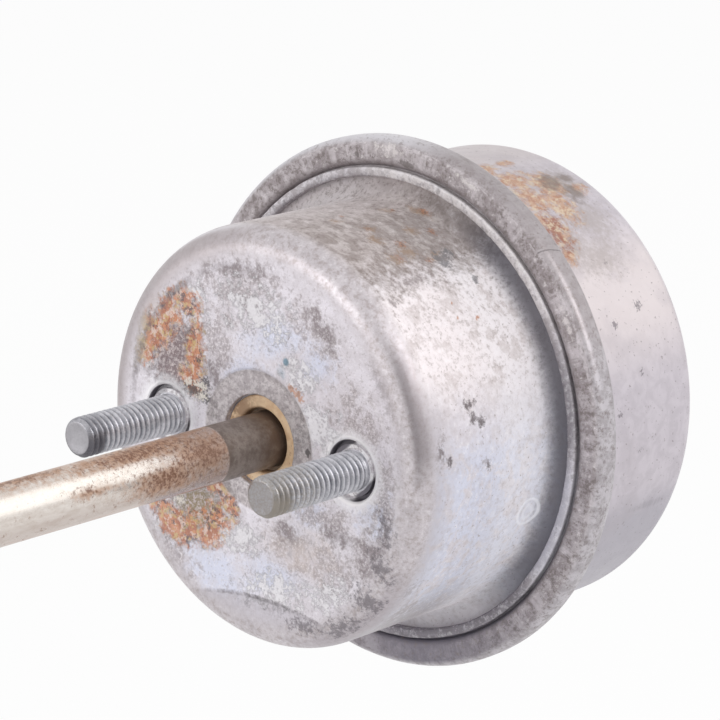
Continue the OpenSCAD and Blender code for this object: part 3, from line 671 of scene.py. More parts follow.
def rear_can_paint():
    p = Paint("zinc_rear")
    grain = p.noise(0.9, 8, 0.75, seed=2)
    fine = p.noise(0.42, 4, 0.65, seed=3)
    mid = p.noise(2.6, 6, 0.65, warp=0.6, seed=4)
    broad = p.noise(9, 4, 0.55, seed=6)
    wiped = p.noise(1.0, 6, 0.74, where=p.around(10, 2.4), seed=8)
    clump = p.noise(2.0, 8, 0.68, seed=28)
    at = p.unrolled
    bead = p.times(p.step(p.y, 33.8, 32.8), p.step(p.r, 33.0, 34.0))
    side = p.times(p.step(p.y, 57.2, 54.5), p.seen_side())

    colour = p.mix(srgb(203, 196, 203), srgb(193, 186, 193), p.step(mid, 0.38, 0.62))
    # Painted highlight: a pale warm zone on the upper right of the can's side.
    sheen_band = p.times(p.step(p.turn, 52, 38), p.step(p.turn, 8, 28))
    colour = p.mix(colour, srgb(216, 206, 206), p.times(sheen_band, side, 0.8))
    # Painted shade: darker and bluish on the lower right and below.
    colour = p.mix(colour, srgb(173, 169, 178), p.times(p.step(p.turn, -14, -27), side, 0.85))
    colour = p.mix(colour, srgb(200, 190, 190), p.times(p.step(p.turn, 70, 84), side, 0.7))
    haze = p.step(broad, 0.5, 0.68)
    colour = p.mix(colour, srgb(178, 170, 176), p.times(haze, 0.35))
    speck = p.step(p.noise(0.5, 2, 0.5, seed=14), 0.66, 0.72)
    colour = p.mix(colour, srgb(132, 120, 122), p.times(speck, 0.6))
    dots = p.grainy(p.blots(at, [((4.2, 38.4), (1.5, 0.8), 0), ((12.6, 44.4), (1, 0.7), 0), ((28, 47.4), (1.8, 1.4), 0), ((-6, 43.6), (0.6, 0.7), 0),
                                 ((25, 41), (2, 1), 0), ((10.6, 49.8), (0.6, 0.5), 0), ((40, 45), (1.2, 1), 0)]), fine, 2.6, 0.3, 0.7)
    colour = p.mix(colour, srgb(116, 108, 114), p.times(dots, 0.75))
    streak = p.grainy(p.blots(at, [((-22.5, 49), (2.2, 8), 0)]), wiped, 2.4, 0.3, 0.9)
    colour = p.mix(colour, srgb(150, 144, 152), p.times(streak, 0.5))

    shade = p.grainy(p.blots(at, [((42, 44), (9, 10), 0), ((52, 48), (12, 8), 0), ((66, 49), (10, 8), 0), ((46, 41), (10, 7), 0)]), grain, 2.6, 0.1, 1.0)
    colour = p.mix(colour, srgb(172, 162, 160), p.times(shade, 0.7))
    rust_zone = p.blots(at, [
        ((70, 42), (6, 6.5), 0), ((62, 41), (8, 5), 0), ((52, 39.6), (9, 4.4), 0), ((44, 38.6), (4, 2.4), 0), ((58, 45), (9, 4), 0),
        ((78.5, 46), (2.6, 2.2), 0), ((62, 52), (3, 2.4), 0), ((78, 41), (5, 3), 0), ((66, 47), (8, 4), 0),
    ])
    rust = p.grainy(rust_zone, p.noise(1.3, 7, 0.78, seed=16), 3.0, 0.0, 0.8)
    tint = p.mix(srgb(206, 168, 140), srgb(188, 138, 108), p.step(p.noise(1.2, 6, 0.7, seed=18), 0.44, 0.58))
    tint = p.mix(tint, srgb(158, 96, 70), p.times(p.grainy(p.blots(at, [((50, 38.6), (9, 3), 0), ((46, 40), (4, 3), 0), ((54, 41), (6, 3), 0)]), grain, 2.4, 0.3, 0.7), 0.9))
    tint = p.mix(tint, srgb(232, 216, 186), p.times(p.step(p.noise(1.1, 6, 0.74, seed=20), 0.5, 0.58), 0.7))
    colour = p.mix(colour, tint, p.times(rust, 0.85))
    soot = p.grainy(p.blots(at, [((66, 48.5), (6, 3.8), 0), ((67, 52), (4, 2.4), 0), ((62, 50), (6, 3), 0)]), clump, 2.4, 0.1, 0.8)
    colour = p.mix(colour, srgb(134, 122, 116), p.times(soot, 0.75))

    # Bead: matte and darker in front, satin on its outside, with painted shade into its crevice and low down, and a
    # painted highlight along the top of its outside
    outer = p.step(p.r, 38.9, 40.0)
    outer = p.most(outer, p.step(p.y, 29.4, 30.6))
    front_tone_and_shade = p.mix(srgb(184, 176, 179), srgb(156, 147, 149), p.step(clump, 0.42, 0.58))
    front_tone_and_shade = p.mix(front_tone_and_shade, srgb(112, 102, 99), p.times(p.step(grain, 0.5, 0.6), 0.7))
    front_tone_and_shade = p.mix(front_tone_and_shade, srgb(232, 227, 228), p.times(p.step(grain, 0.44, 0.36), 0.6))
    front_tone_and_shade = p.mix(front_tone_and_shade, srgb(214, 207, 211), p.times(p.step(wiped, 0.5, 0.62), 0.6))
    # Painted shade: darker into the crevice, darkest on the right and below, and darker low down.
    front_tone_and_shade = p.mix(front_tone_and_shade, srgb(124, 115, 116), p.times(p.step(p.r, 37.3, 36.2), 0.55))
    front_tone_and_shade = p.mix(front_tone_and_shade, srgb(78, 75, 84), p.times(p.step(p.r, 36.7, 35.9), p.step(p.turn, 24, 0), 0.75))
    front_tone_and_shade = p.mix(front_tone_and_shade, srgb(118, 114, 126), p.times(p.step(p.turn, -28, -80), side, 0.8))
    outer_tone_and_highlight = p.mix(srgb(194, 189, 194), srgb(168, 162, 166), p.step(clump, 0.42, 0.6))
    outer_tone_and_highlight = p.mix(outer_tone_and_highlight, srgb(128, 118, 118), p.times(p.step(grain, 0.51, 0.61), 0.6))
    outer_tone_and_highlight = p.mix(outer_tone_and_highlight, srgb(156, 147, 148), p.times(p.step(p.turn, 12, 30), side, 0.7))
    # Painted highlight along the top of the bead's outside.
    outer_tone_and_highlight = p.mix(outer_tone_and_highlight, srgb(226, 224, 230), p.times(p.step(p.turn, 70, 90), side, 0.7))
    bead_tint = p.mix(front_tone_and_shade, outer_tone_and_highlight, outer)
    bead_tint = p.mix(bead_tint, srgb(126, 116, 112), p.times(p.step(p.noise(0.7, 5, 0.7, seed=26), 0.55, 0.64), 0.5))
    scuffs = p.grainy(p.blots(p.flat, [((0.3, 38.3), (5.5, 1.6), 0), ((15.5, 35.2), (4, 1.2), -24), ((33.6, 18), (5, 1), -62)]),
                      grain, 3.4, 0.35, 0.95)
    bead_tint = p.mix(bead_tint, srgb(240, 234, 234), p.times(scuffs, 0.65))
    dark_spot = p.grainy(p.blots(p.flat, [((-5.9, 36.9), (1.1, 0.7), 5), ((3.9, 36.7), (2.4, 0.8), -6), ((-2.5, 37.6), (0.5, 0.3), 0)]), fine, 1.4, 0.2, 0.6)
    bead_tint = p.mix(bead_tint, srgb(104, 96, 94), p.times(dark_spot, 0.7))
    crack = p.times(p.stroke(p.less(p.plus(p.turn, p.times(p.y, 0.4)), 54.8), 0.22), bead, p.step(p.r, 38.6, 39.2))
    bead_tint = p.mix(bead_tint, srgb(112, 105, 106), p.times(crack, 0.55))
    colour = p.mix(colour, bead_tint, bead)
    # Painted highlight: a bright streak just behind the bead on its upper right.
    neck_highlight = p.times(p.stroke(p.less(p.y, 33.3), 1.4), p.step(p.turn, 62, 48), p.step(p.turn, 14, 24), p.step(wiped, 0.3, 0.5))
    colour = p.mix(colour, srgb(240, 235, 238), p.times(neck_highlight, 0.8))
    lip = p.times(bead, p.step(p.r, LIP_R + LIP_WIDTH + 0.2, LIP_R + LIP_WIDTH - 0.1))
    ragged = p.plus(p.r, p.times(p.less(grain, 0.5), 2.0))
    # Painted shade: the lip is darker on its inner side, like the fillet, with a ragged border.
    lip_tone_light_and_shade = p.mix(srgb(150, 145, 150), srgb(216, 211, 216), p.step(ragged, LIP_R + 0.1, LIP_R + 1.1))
    lip_tone_light_and_shade = p.mix(lip_tone_light_and_shade, srgb(150, 142, 144), p.times(p.step(clump, 0.48, 0.56), 0.6))
    # Painted highlight on the lip's upper right and top.
    lip_tone_light_and_shade = p.mix(lip_tone_light_and_shade, srgb(244, 239, 238), p.times(p.step(p.turn, 24, 40), p.step(p.turn, 104, 84), p.step(grain, 0.3, 0.58), 0.7))
    # Painted shade on the lip's right.
    lip_tone_light_and_shade = p.mix(lip_tone_light_and_shade, srgb(136, 132, 138), p.times(p.step(p.turn, 30, 18), p.step(p.turn, -6, 4), 0.7))
    # Painted light: lighter and bluish on the lower right.
    lip_tone_light_and_shade = p.mix(lip_tone_light_and_shade, srgb(226, 226, 238), p.times(p.step(p.turn, 0, -10), p.step(p.turn, -40, -30), 0.5))
    # Painted shade: darker low down.
    lip_tone_light_and_shade = p.mix(lip_tone_light_and_shade, srgb(112, 107, 115), p.times(p.step(p.turn, -34, -44), side, 0.75))
    lip_tone_light_and_shade = p.mix(lip_tone_light_and_shade, srgb(98, 92, 96), p.times(p.step(clump, 0.46, 0.38), 0.5))
    lip_tone_light_and_shade = p.mix(lip_tone_light_and_shade, srgb(240, 238, 242), p.times(p.step(p.noise(0.8, 6, 0.76, seed=81), 0.5, 0.62), 0.4))
    colour = p.mix(colour, lip_tone_light_and_shade, p.times(lip, 0.85))

    matte = p.most(rust, soot, p.times(bead, p.less(1.0, outer), 0.6))
    metallic = p.blend(0.45, 0.1, matte)
    rough = p.plus(p.blend(0.4, 0.7, matte), p.times(p.less(mid, 0.5), 0.25))
    height = p.plus(p.times(grain, p.blend(0.014, 0.03, bead)), p.times(broad, 0.08), p.times(rust, grain, 0.12),
                    p.times(fine, 0.012), p.times(crack, -0.05))
    return p.surface(colour, metallic, rough, height)


def rod_paint():
    p = Paint("rod_steel")
    fine = p.noise(0.45, 6, 0.72)
    grain = p.noise(1.1, 8, 0.76, seed=3)
    long = p.noise(1.0, 6, 0.7, where=p.combine(p.x, p.times(p.y, 0.3), p.z), seed=5)
    at = p.unrolled
    seen = p.seen_side()
    colour = p.mix(srgb(226, 219, 213), srgb(208, 198, 190), p.step(long, 0.36, 0.66))
    warm = p.step(p.plus(p.times(p.less(p.turn, 44), 0.012), p.times(p.less(grain, 0.5), 2.2)), -0.2, 0.8)
    colour = p.mix(colour, srgb(186, 152, 130), p.times(warm, seen, 0.65))
    # Painted highlight along the upper side of the rod's far part; stains are fainter on it.
    shine_highlight = p.times(p.stroke(p.less(p.turn, 33), 24), p.step(p.y, -15, -26))
    colour = p.mix(colour, srgb(250, 244, 236), p.times(shine_highlight, 0.6))
    # Painted shade: greyer and darker on the rod's lower side.
    colour = p.mix(colour, srgb(170, 152, 144), p.times(p.step(p.turn, 8, -30), seen, 0.45))
    near = p.step(p.y, -40, -16)
    stain_zone = p.plus(p.blots(at, [
        ((30, -14), (75, 11), 0), ((0, -22), (60, 12), 0), ((70, -26), (60, 22), 0), ((20, -36), (26, 7), 0), ((90, -45), (40, 16), 0),
    ]), p.times(near, 0.1))
    stain = p.times(p.grainy(stain_zone, grain, 1.8, 0.15, 0.9), p.step(shine_highlight, 0.2, 1.0, 1.0, 0.35))
    colour = p.mix(colour, srgb(176, 132, 100), p.times(stain, 0.75))
    crumbs = p.grainy(stain_zone, p.noise(0.6, 7, 0.8, seed=35), 4.6, 0.55, 1.15)
    colour = p.mix(colour, srgb(108, 68, 48), p.times(crumbs, 0.8))
    drops = p.times(p.step(p.noise(1.3, 4, 0.65, seed=31), 0.6, 0.7), p.step(p.turn, 30, -10), seen)
    colour = p.mix(colour, srgb(134, 98, 74), p.times(drops, 0.7))
    specks = p.step(p.noise(0.5, 4, 0.65, seed=33), 0.6, 0.7)
    colour = p.mix(colour, srgb(120, 80, 58), p.times(specks, p.blend(0.2, 0.6, near)))
    # Brown streaks along the rod's lower edge: partly stain and partly painted shade.
    underside_stain_and_shade = p.step(p.plus(p.turn, p.times(p.less(long, 0.5), 60)), -42, -62)
    colour = p.mix(colour, srgb(172, 134, 112), p.times(underside_stain_and_shade, seen, 0.6))
    colour = p.mix(colour, srgb(150, 124, 108), p.times(p.step(p.y, -22, -12), seen, 0.3))
    clean = p.step(p.plus(p.y, p.times(p.less(grain, 0.5), 0.5)), -10.0, -9.6)
    band_tone_and_reflection = p.mix(srgb(144, 134, 126), srgb(116, 104, 96), p.step(p.noise(2.2, 6, 0.7, seed=9), 0.4, 0.6))
    # Painted dark reflection: browner and darker near the bush.
    band_tone_and_reflection = p.mix(band_tone_and_reflection, srgb(94, 74, 62), p.times(p.step(p.y, -6, 0), p.step(p.noise(3, 5, 0.65, seed=11), 0.3, 0.6), 0.8))
    band_tone_and_reflection = p.mix(band_tone_and_reflection, srgb(100, 86, 78), p.times(p.step(fine, 0.52, 0.66), 0.5))
    colour = p.mix(colour, band_tone_and_reflection, p.times(clean, 0.95))
    dull = p.most(p.times(stain, 0.8), p.times(drops, 0.7), p.times(warm, 0.35))
    metallic = p.blend(p.blend(0.8, 0.3, dull), 0.6, clean)
    rough = p.blend(p.blend(0.22, 0.5, dull), 0.42, clean)
    height = p.plus(p.times(fine, 0.003), p.times(stain, grain, 0.01))
    return p.surface(colour, metallic, rough, height)


def stud_paint():
    p = Paint("stud_steel")
    fine = p.noise(0.4, 6, 0.7)
    mid = p.noise(1.6, 5, 0.6)
    depth, height, _ = p.round_studs()
    colour = p.mix(srgb(176, 176, 182), srgb(204, 203, 209), p.step(mid, 0.4, 0.62))
    colour = p.mix(colour, srgb(116, 115, 122), p.times(p.step(fine, 0.48, 0.6), 0.5))
    # Darker thread roots: partly dirt and partly painted shade.
    groove_dirt_and_shade = p.times(p.step(depth, 2.86, 2.5), p.step(depth, 1.9, 2.3), p.step(p.y, -STUD_REACH + 0.3, -STUD_REACH + 0.9))
    worn = p.noise(3.5, 4, 0.6, seed=7)
    colour = p.mix(colour, srgb(80, 82, 94), p.times(groove_dirt_and_shade, p.step(worn, 0.3, 0.62, 0.3, 0.8)))
    # Painted highlight on the thread crests.
    colour = p.mix(colour, srgb(232, 230, 236), p.times(p.step(depth, 2.84, 2.94), p.step(fine, 0.4, 0.6), 0.5))
    # Painted shadow: a dark ring behind each tip, darkest on the left stud and lower down.
    tip = p.times(p.step(p.plus(p.y, p.times(p.less(worn, 0.5), 5)), 4.2 - STUD_REACH, 2.4 - STUD_REACH), p.step(depth, 2.2, 2.35))
    tip_shade_tint = p.mix(srgb(62, 58, 66), srgb(132, 124, 114), p.step(p.x, -1, 1))
    colour = p.mix(colour, tip_shade_tint, p.times(tip, p.step(height, 2.2, -0.5, 0.3, 0.85)))
    tip_face = p.times(p.step(p.y, 0.2 - STUD_REACH, 0.1 - STUD_REACH), p.step(depth, 2.45, 2.3))
    colour = p.mix(colour, srgb(160, 157, 161), p.times(tip_face, 0.75))
    brown_half = p.times(p.step(p.y, 11.0 - STUD_REACH, 6.0 - STUD_REACH), p.step(p.x, -1, 1))
    colour = p.mix(colour, srgb(150, 142, 132), p.times(brown_half, p.step(fine, 0.4, 0.55), 0.5))
    return p.surface(colour, 0.65, p.plus(0.26, p.times(mid, 0.2)), p.times(fine, 0.03))


def stud_plate_paint():
    """Plain steel, with bright broken metal round the studs where they come through the front, and painted shadow
    crescents in the gaps on their upper left and lower right.
    """
    p = Paint("stud_plate_steel")
    grain = p.noise(0.8, 6, 0.7)
    colour = p.mix(srgb(178, 175, 180), srgb(132, 129, 134), p.step(grain, 0.4, 0.62))
    _, _, slant = p.round_studs()
    torn_metal_and_shadow = p.mix(srgb(252, 250, 252), srgb(206, 200, 204), p.step(grain, 0.46, 0.6))
    # Painted shadow crescents on the upper left and lower right, fainter on the left stud.
    torn_metal_and_shadow = p.mix(torn_metal_and_shadow, srgb(116, 112, 120), p.times(p.step(slant, 2.7, 3.2), p.step(p.x, -1, 1, 0.6, 1.0)))
    colour = p.mix(colour, torn_metal_and_shadow, p.step(p.y, 1.9, 1.4))
    return p.surface(colour, 0.3, 0.5, p.times(grain, 0.1))


def bush_paint():
    p = Paint("bush_tan")
    mid = p.noise(2.0, 5, 0.6)
    colour = p.mix(srgb(238, 208, 172), srgb(220, 184, 146), p.step(mid, 0.4, 0.65))
    # Painted shadow: brown on the upper left, where the hole's edge shades the recessed bush.
    recess_shadow = p.times(p.most(p.step(p.turn, 78, 130), p.step(p.turn, -140, -165)), p.step(p.noise(1.4, 5, 0.65, seed=3), 0.3, 0.55))
    colour = p.mix(colour, srgb(128, 92, 66), p.times(recess_shadow, 0.75))
    spots = p.step(p.noise(0.7, 4, 0.6, seed=7), 0.62, 0.68)
    colour = p.mix(colour, srgb(150, 110, 80), p.times(spots, 0.5))
    # Painted shade: dark inside the mouth, from 1.7 mm behind the front.
    colour = p.mix(colour, srgb(92, 66, 52), p.times(p.step(p.y, 1.7, 3.0), 0.85))
    return p.surface(colour, 0.0, 0.5, p.times(p.noise(0.4, 4, 0.6), 0.015))


def plain_paint(name, light, dark, metallic, rough, size=1.5, depth=0.02, **constants):
    """A surface of one stuff with fine variation, for the pieces that are inside or out of sight."""
    p = Paint(name)
    cloud = p.noise(size, 5, 0.62)
    fine = p.noise(size / 4, 4, 0.6, seed=5)
    colour = p.mix(srgb(*light), srgb(*dark), p.step(cloud, 0.38, 0.66))
    return p.surface(colour, metallic, p.plus(rough, p.times(p.less(cloud, 0.5), 0.25)), p.times(fine, depth), **constants)


PAINTS = {
    "zinc_front": front_wall_paint(),
    "zinc_rear": rear_can_paint(),
    "rod_steel": rod_paint(),
    "stud_steel": stud_paint(),
    "bush_tan": bush_paint(),
    "nipple_steel": plain_paint("nipple_steel", (186, 184, 186), (166, 163, 165), 0.8, 0.36),
    "braze": plain_paint("braze", (184, 156, 118), (156, 128, 98), 0.7, 0.45, depth=0.05),
    "plate_steel": plain_paint("plate_steel", (186, 184, 188), (136, 134, 138), 0.75, 0.4, size=0.8),
    "wiper_felt": plain_paint("wiper_felt", (88, 82, 74), (60, 55, 50), 0.0, 0.95, 0.6, 0.08),
    "spring_steel": plain_paint("spring_steel", (110, 112, 116), (70, 70, 74), 0.8, 0.35),
    "diaphragm_rubber": plain_paint("diaphragm_rubber", (46, 46, 47), (30, 30, 31), 0.0, 0.75),
    "seal_rubber": plain_paint("seal_rubber", (50, 49, 49), (34, 33, 33), 0.0, 0.7),
    "hardware_zinc": plain_paint("hardware_zinc", (194, 192, 195), (174, 171, 174), 0.8, 0.34),
    "rod_end_steel": plain_paint("rod_end_steel", (178, 176, 178), (158, 155, 157), 0.75, 0.38),
}


def dress(obj, slot, body, *nodes, paint=None):
    """Gives a piece its material and body, and hides the CAD nodes that it stands for."""
    paint = paint or PAINTS[slot]
    obj.data.materials.clear()
    obj.data.materials.append(paint.mat)
    if paint.zones:
        paint.mark_zones(obj)
    if body:
        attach(obj, body)
    if nodes:
        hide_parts(*nodes)


# Pieces

def front_can():
    flange_end = BEAD_R - SHEET - 0.6
    profile = (
        [(BUSH_HOLE_R, SHEET), (BUSH_HOLE_R, COINED_DEPTH + 0.25)]
        + arc(BUSH_HOLE_R + 0.25, COINED_DEPTH + 0.25, 0.25, 180, 90, 4)
        + line((COINED_R - 1.5, COINED_DEPTH), (COINED_R - 0.2, COINED_DEPTH), 2)
        + [(COINED_R - 0.12, COINED_DEPTH - 0.02), (COINED_R + 0.12, 0.02)]
        + line((COINED_R + 0.25, 0), (FRONT_R - FRONT_EDGE, 0), 32)
        + arc(FRONT_R - FRONT_EDGE, FRONT_EDGE, FRONT_EDGE, 90, 0, 20)
        + line((FRONT_R, FRONT_EDGE + 0.5), (FRONT_R, FLANGE_DEPTH - SEAM_FILLET), 40)
        + arc(FRONT_R + SEAM_FILLET, FLANGE_DEPTH - SEAM_FILLET, SEAM_FILLET, 180, 270, 14)
        + [(flange_end, FLANGE_DEPTH), (flange_end, FLANGE_BACK)]
        + arc(FRONT_R + SEAM_FILLET, FLANGE_DEPTH - SEAM_FILLET, SEAM_FILLET + SHEET, 270, 180, 8)
        + arc(FRONT_R - FRONT_EDGE, FRONT_EDGE, FRONT_EDGE - SHEET, 0, 90, 6)
    )
    can = revolve("front_can_shell", profile, 320)
    cutters = []
    for side in (-1, 1):
        lip = STUD_HOLE_R + STUD_HOLE_LIP
        outline = [(0, -2), (lip, -2), (lip, 0)] + arc(lip, STUD_HOLE_LIP, STUD_HOLE_LIP, 90, 180, 7)[1:]
        outline += [(STUD_HOLE_R, 3), (0, 3)]
        cutters.append(solid_of_revolution(f"hole_cutter_{side + 1}", outline, 72, stud_centre(side)))
    width, reach, turn = KEY_NOTCH
    bevel = 0.4
    corners = [(0, -width / 2), (reach - bevel, -width / 2), (reach, bevel - width / 2), (reach, width / 2 - bevel),
               (reach - bevel, width / 2), (0, width / 2)]
    n = len(corners)
    verts = [
        (u * math.cos(turn) - v * math.sin(turn), d, u * math.sin(turn) + v * math.cos(turn))
        for d in (-1, 3) for u, v in corners
    ]
    faces = [tuple(range(n)), tuple(range(2 * n - 1, n - 1, -1))]
    faces += [(i, (i + 1) % n, (i + 1) % n + n, i + n) for i in range(n)]
    cutters.append(finish_mesh("notch_cutter", verts, faces))
    cut(can, *cutters)
    smooth(can, 40)
    flat_shading(can)
    dress(can, "zinc_front", "housing", "front_can")
    face = front_face_paint()
    face.mark_zones(can)
    can.data.materials.append(face.mat)
    for polygon in can.data.polygons:
        on_face = polygon.center.y < FRONT_EDGE * 0.45 * MM
        polygon.material_index = 1 if on_face else 0


def rear_can():
    back = BEAD_BACK - SHEET
    corner_x = BEAD_R - BEAD_CORNER
    inside = REAR_R - SHEET
    crevice = LIP_R + LIP_WIDTH
    knuckle = crevice + CREVICE + KNUCKLE
    lip_front = BEAD_FRONT - LIP_PROUD
    middle_r = 2.0
    profile = (
        line((LIP_R, FLANGE_DEPTH), (LIP_R, lip_front + 0.3), 3)
        + arc(LIP_R + 0.3, lip_front + 0.3, 0.3, 180, 90, 4)
        + arc(crevice - 0.35, lip_front + 0.35, 0.35, 90, 0, 4)
        + line((crevice, lip_front + 0.5), (crevice, FLANGE_DEPTH - 0.4), 2)
        + arc(crevice + CREVICE / 2, FLANGE_DEPTH - 0.4, CREVICE / 2, 180, 360, 5)
        + arc(knuckle, BEAD_FRONT + KNUCKLE, KNUCKLE, 180, 90, 8)
        + line((knuckle + 0.2, BEAD_FRONT), (corner_x, BEAD_FRONT), 3)
        + arc(corner_x, BEAD_FRONT + BEAD_CORNER, BEAD_CORNER, 90, 0, 9)
        + line((BEAD_R, BEAD_FRONT + BEAD_CORNER + 0.3), (BEAD_R, BEAD_BACK - BEAD_CORNER), 3)
        + arc(corner_x, BEAD_BACK - BEAD_CORNER, BEAD_CORNER, 0, -90, 9)
        + arc(REAR_R + NECK, BEAD_BACK + NECK, NECK, 90, 180, 8)
        + line((REAR_R, BEAD_BACK + NECK + 0.6), (REAR_R, BODY_DEPTH - REAR_EDGE), 40)
        + arc(REAR_R - REAR_EDGE, BODY_DEPTH - REAR_EDGE, REAR_EDGE, 0, -90, 18)
        + line((REAR_R - REAR_EDGE - 1, BODY_DEPTH), (middle_r, BODY_DEPTH), 12)
        + [(middle_r, BODY_DEPTH), (middle_r, BODY_DEPTH - SHEET)]
        + arc(REAR_R - REAR_EDGE, BODY_DEPTH - REAR_EDGE, REAR_EDGE - SHEET, -90, 0, 6)
        + [(inside, BEAD_BACK + NECK)]
        + arc(REAR_R + NECK, BEAD_BACK + NECK, NECK + SHEET, 180, 90, 5)
        + arc(corner_x, back - 0.5, 0.5, -90, 0, 4)
        + arc(corner_x, BEAD_FRONT + BEAD_CORNER, 0.5, 0, 90, 4)
        + [(corner_x, FLANGE_DEPTH)]
    )

    def worn(r, d, a):
        """The cut lip is chipped and uneven."""
        if d < FLANGE_DEPTH and r < crevice + 0.02:
            u, v = 11 * math.cos(a), 11 * math.sin(a)
            uneven = noise.noise(Vector((u, v, 1.0))) * 0.14 + noise.noise(Vector((u * 5, v * 5, 2.0))) * 0.08
            share = max(0.0, (FLANGE_DEPTH - d) / (FLANGE_DEPTH - lip_front))
            d += share * (0.16 + uneven)
            if r > LIP_R + 0.5:
                r += share * noise.noise(Vector((u * 2, v * 2, 5.0))) * 0.1
        return r, d

    can = revolve("rear_can_shell", profile, 360, worn, plug=profile.index((middle_r, BODY_DEPTH)))
    hole = solid_of_revolution(
        "nipple_hole", [(0, 50), (NIPPLE_NECK_R, 50), (NIPPLE_NECK_R, 62), (0, 62)], 64, (0, NIPPLE_RISE)
    )
    cut(can, hole)
    smooth(can, 40)
    flat_shading(can)
    dress(can, "zinc_rear", "housing", "rear_can")


def thread_radius(crest, depth, pitch, start, tip, chamfer):
    """Radius of a rolled screw thread at a depth and angle, fading in past its start and bevelled at the tip."""
    def radius(r, d, a):
        if r < crest - 0.01:
            return r
        phase = ((-d / pitch) - a / (2 * math.pi)) % 1.0
        ridge = min(1.0, max(0.0, (1 - abs(phase - 0.5) * 2) * 1.35 - 0.12))
        run = min(1.0, max(0.0, (-d - start) / pitch))
        thread = crest - depth * (1 - ridge) * run
        bevel = crest - chamfer + (tip + d)
        return min(thread, bevel)
    return radius


def stud(side, name, node):
    chamfer = 0.55
    pitch = 1.0
    thread_depth = 0.46
    dish = 0.1
    row_step = 0.08
    rows = [(STUD_R, -d) for d in np.arange(-STUD_COLLAR_FRONT + 0.02, STUD_REACH + 0.001, row_step)]
    face_r = STUD_R - chamfer
    face = [(face_r - 0.2, -STUD_REACH), (face_r - 0.6, dish - STUD_REACH), (0, dish - STUD_REACH)]
    press = [(STUD_HEAD_R - 0.3, STUD_BACK), (STUD_HEAD_R, STUD_BACK - 0.3), (STUD_HEAD_R, PLATE_BACK),
             (STUD_PRESS_R, PLATE_BACK), (STUD_PRESS_R, STUD_COLLAR_FRONT)]
    thread = thread_radius(STUD_R, thread_depth, pitch, -STUD_COLLAR_FRONT, STUD_REACH, chamfer)

    def radius(r, d, a):
        return r if d >= STUD_COLLAR_FRONT else thread(r, d, a)

    profile = [(0, STUD_BACK)] + press + rows + face
    piece = solid_of_revolution(name, profile, 80, stud_centre(side), radius, 50)
    dress(piece, "stud_steel", "housing", node)


def rod():
    chamfer = 0.9
    bevel = 0.8
    shaft = [(ROD_R, d) for d in np.linspace(ROD_SHOULDER, 0.2 - ROD_PLAIN, 30)]
    rows = [(ROD_THREAD_R, -d) for d in np.arange(ROD_PLAIN + 0.1, ROD_TIP + 0.001, 0.12)]
    inner = [(0, ROD_INNER_TIP), (ROD_INNER_R - bevel, ROD_INNER_TIP), (ROD_INNER_R, ROD_INNER_TIP - bevel), (ROD_INNER_R, ROD_SHOULDER)]
    profile = inner + shaft + rows + [(2.6, -ROD_TIP), (0, -ROD_TIP)]
    screw = thread_radius(ROD_THREAD_R, 0.65, 1.25, ROD_PLAIN + 0.3, ROD_TIP, chamfer)

    def radius(r, d, a):
        return screw(r, d, a) if d < -ROD_PLAIN and r > ROD_THREAD_R - 0.01 else r

    piece = solid_of_revolution("rod_shaft", profile, 96, (0, 0), radius, 50)
    dress(piece, "rod_steel", "plunger", "rod")


def bush():
    front = 0.9
    back = 11.9
    mouth_r = 4.7
    bore_r = 4.15
    mouth_back = 2.5
    edge = 0.25
    bevel = 0.5
    profile = (
        [(BUSH_R, back)] + arc(BUSH_R - edge, front + edge, edge, 0, 90, 4)
        + arc(mouth_r + bevel, front + bevel, bevel, 90, 180, 6)
        + [(mouth_r, mouth_back), (bore_r, mouth_back + 0.1), (bore_r, back)]
    )
    piece = revolve("bush_ring", profile, 160)
    dress(piece, "bush_tan", "housing", "rod_bush")


def return_spring():
    """The spring's wire as a tube along its helix."""
    steps_per_turn = 36
    sides = 16
    span = HEAD_FRONT - SEAT_BACK
    free = SPRING_TURNS - 2 * CLOSED_TURNS
    free_span = span - (1 + 2 * CLOSED_TURNS) * 2 * WIRE_R
    count = round(SPRING_TURNS * steps_per_turn)
    verts, faces = [], []
    for k in range(count + 1):
        turns = k / steps_per_turn
        opened = max(0.0, min(free, turns - CLOSED_TURNS))
        height = (turns - opened) * 2 * WIRE_R + opened * free_span / free
        a = -2 * math.pi * turns
        for i in range(sides):
            b = 2 * math.pi * i / sides
            r = SPRING_R + WIRE_R * math.cos(b)
            verts.append((r * math.cos(a), SEAT_BACK + height + WIRE_R * (1 + math.sin(b)), r * math.sin(a)))
    for k in range(count):
        for i in range(sides):
            j = (i + 1) % sides
            faces.append((k * sides + i, k * sides + j, (k + 1) * sides + j, (k + 1) * sides + i))
    faces.append(tuple(range(sides)))
    faces.append(tuple(count * sides + i for i in range(sides - 1, -1, -1)))
    piece = finish_mesh("return_spring_wire", verts, faces, 60)
    dress(piece, "spring_steel", "housing", "return_spring")
    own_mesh(piece)


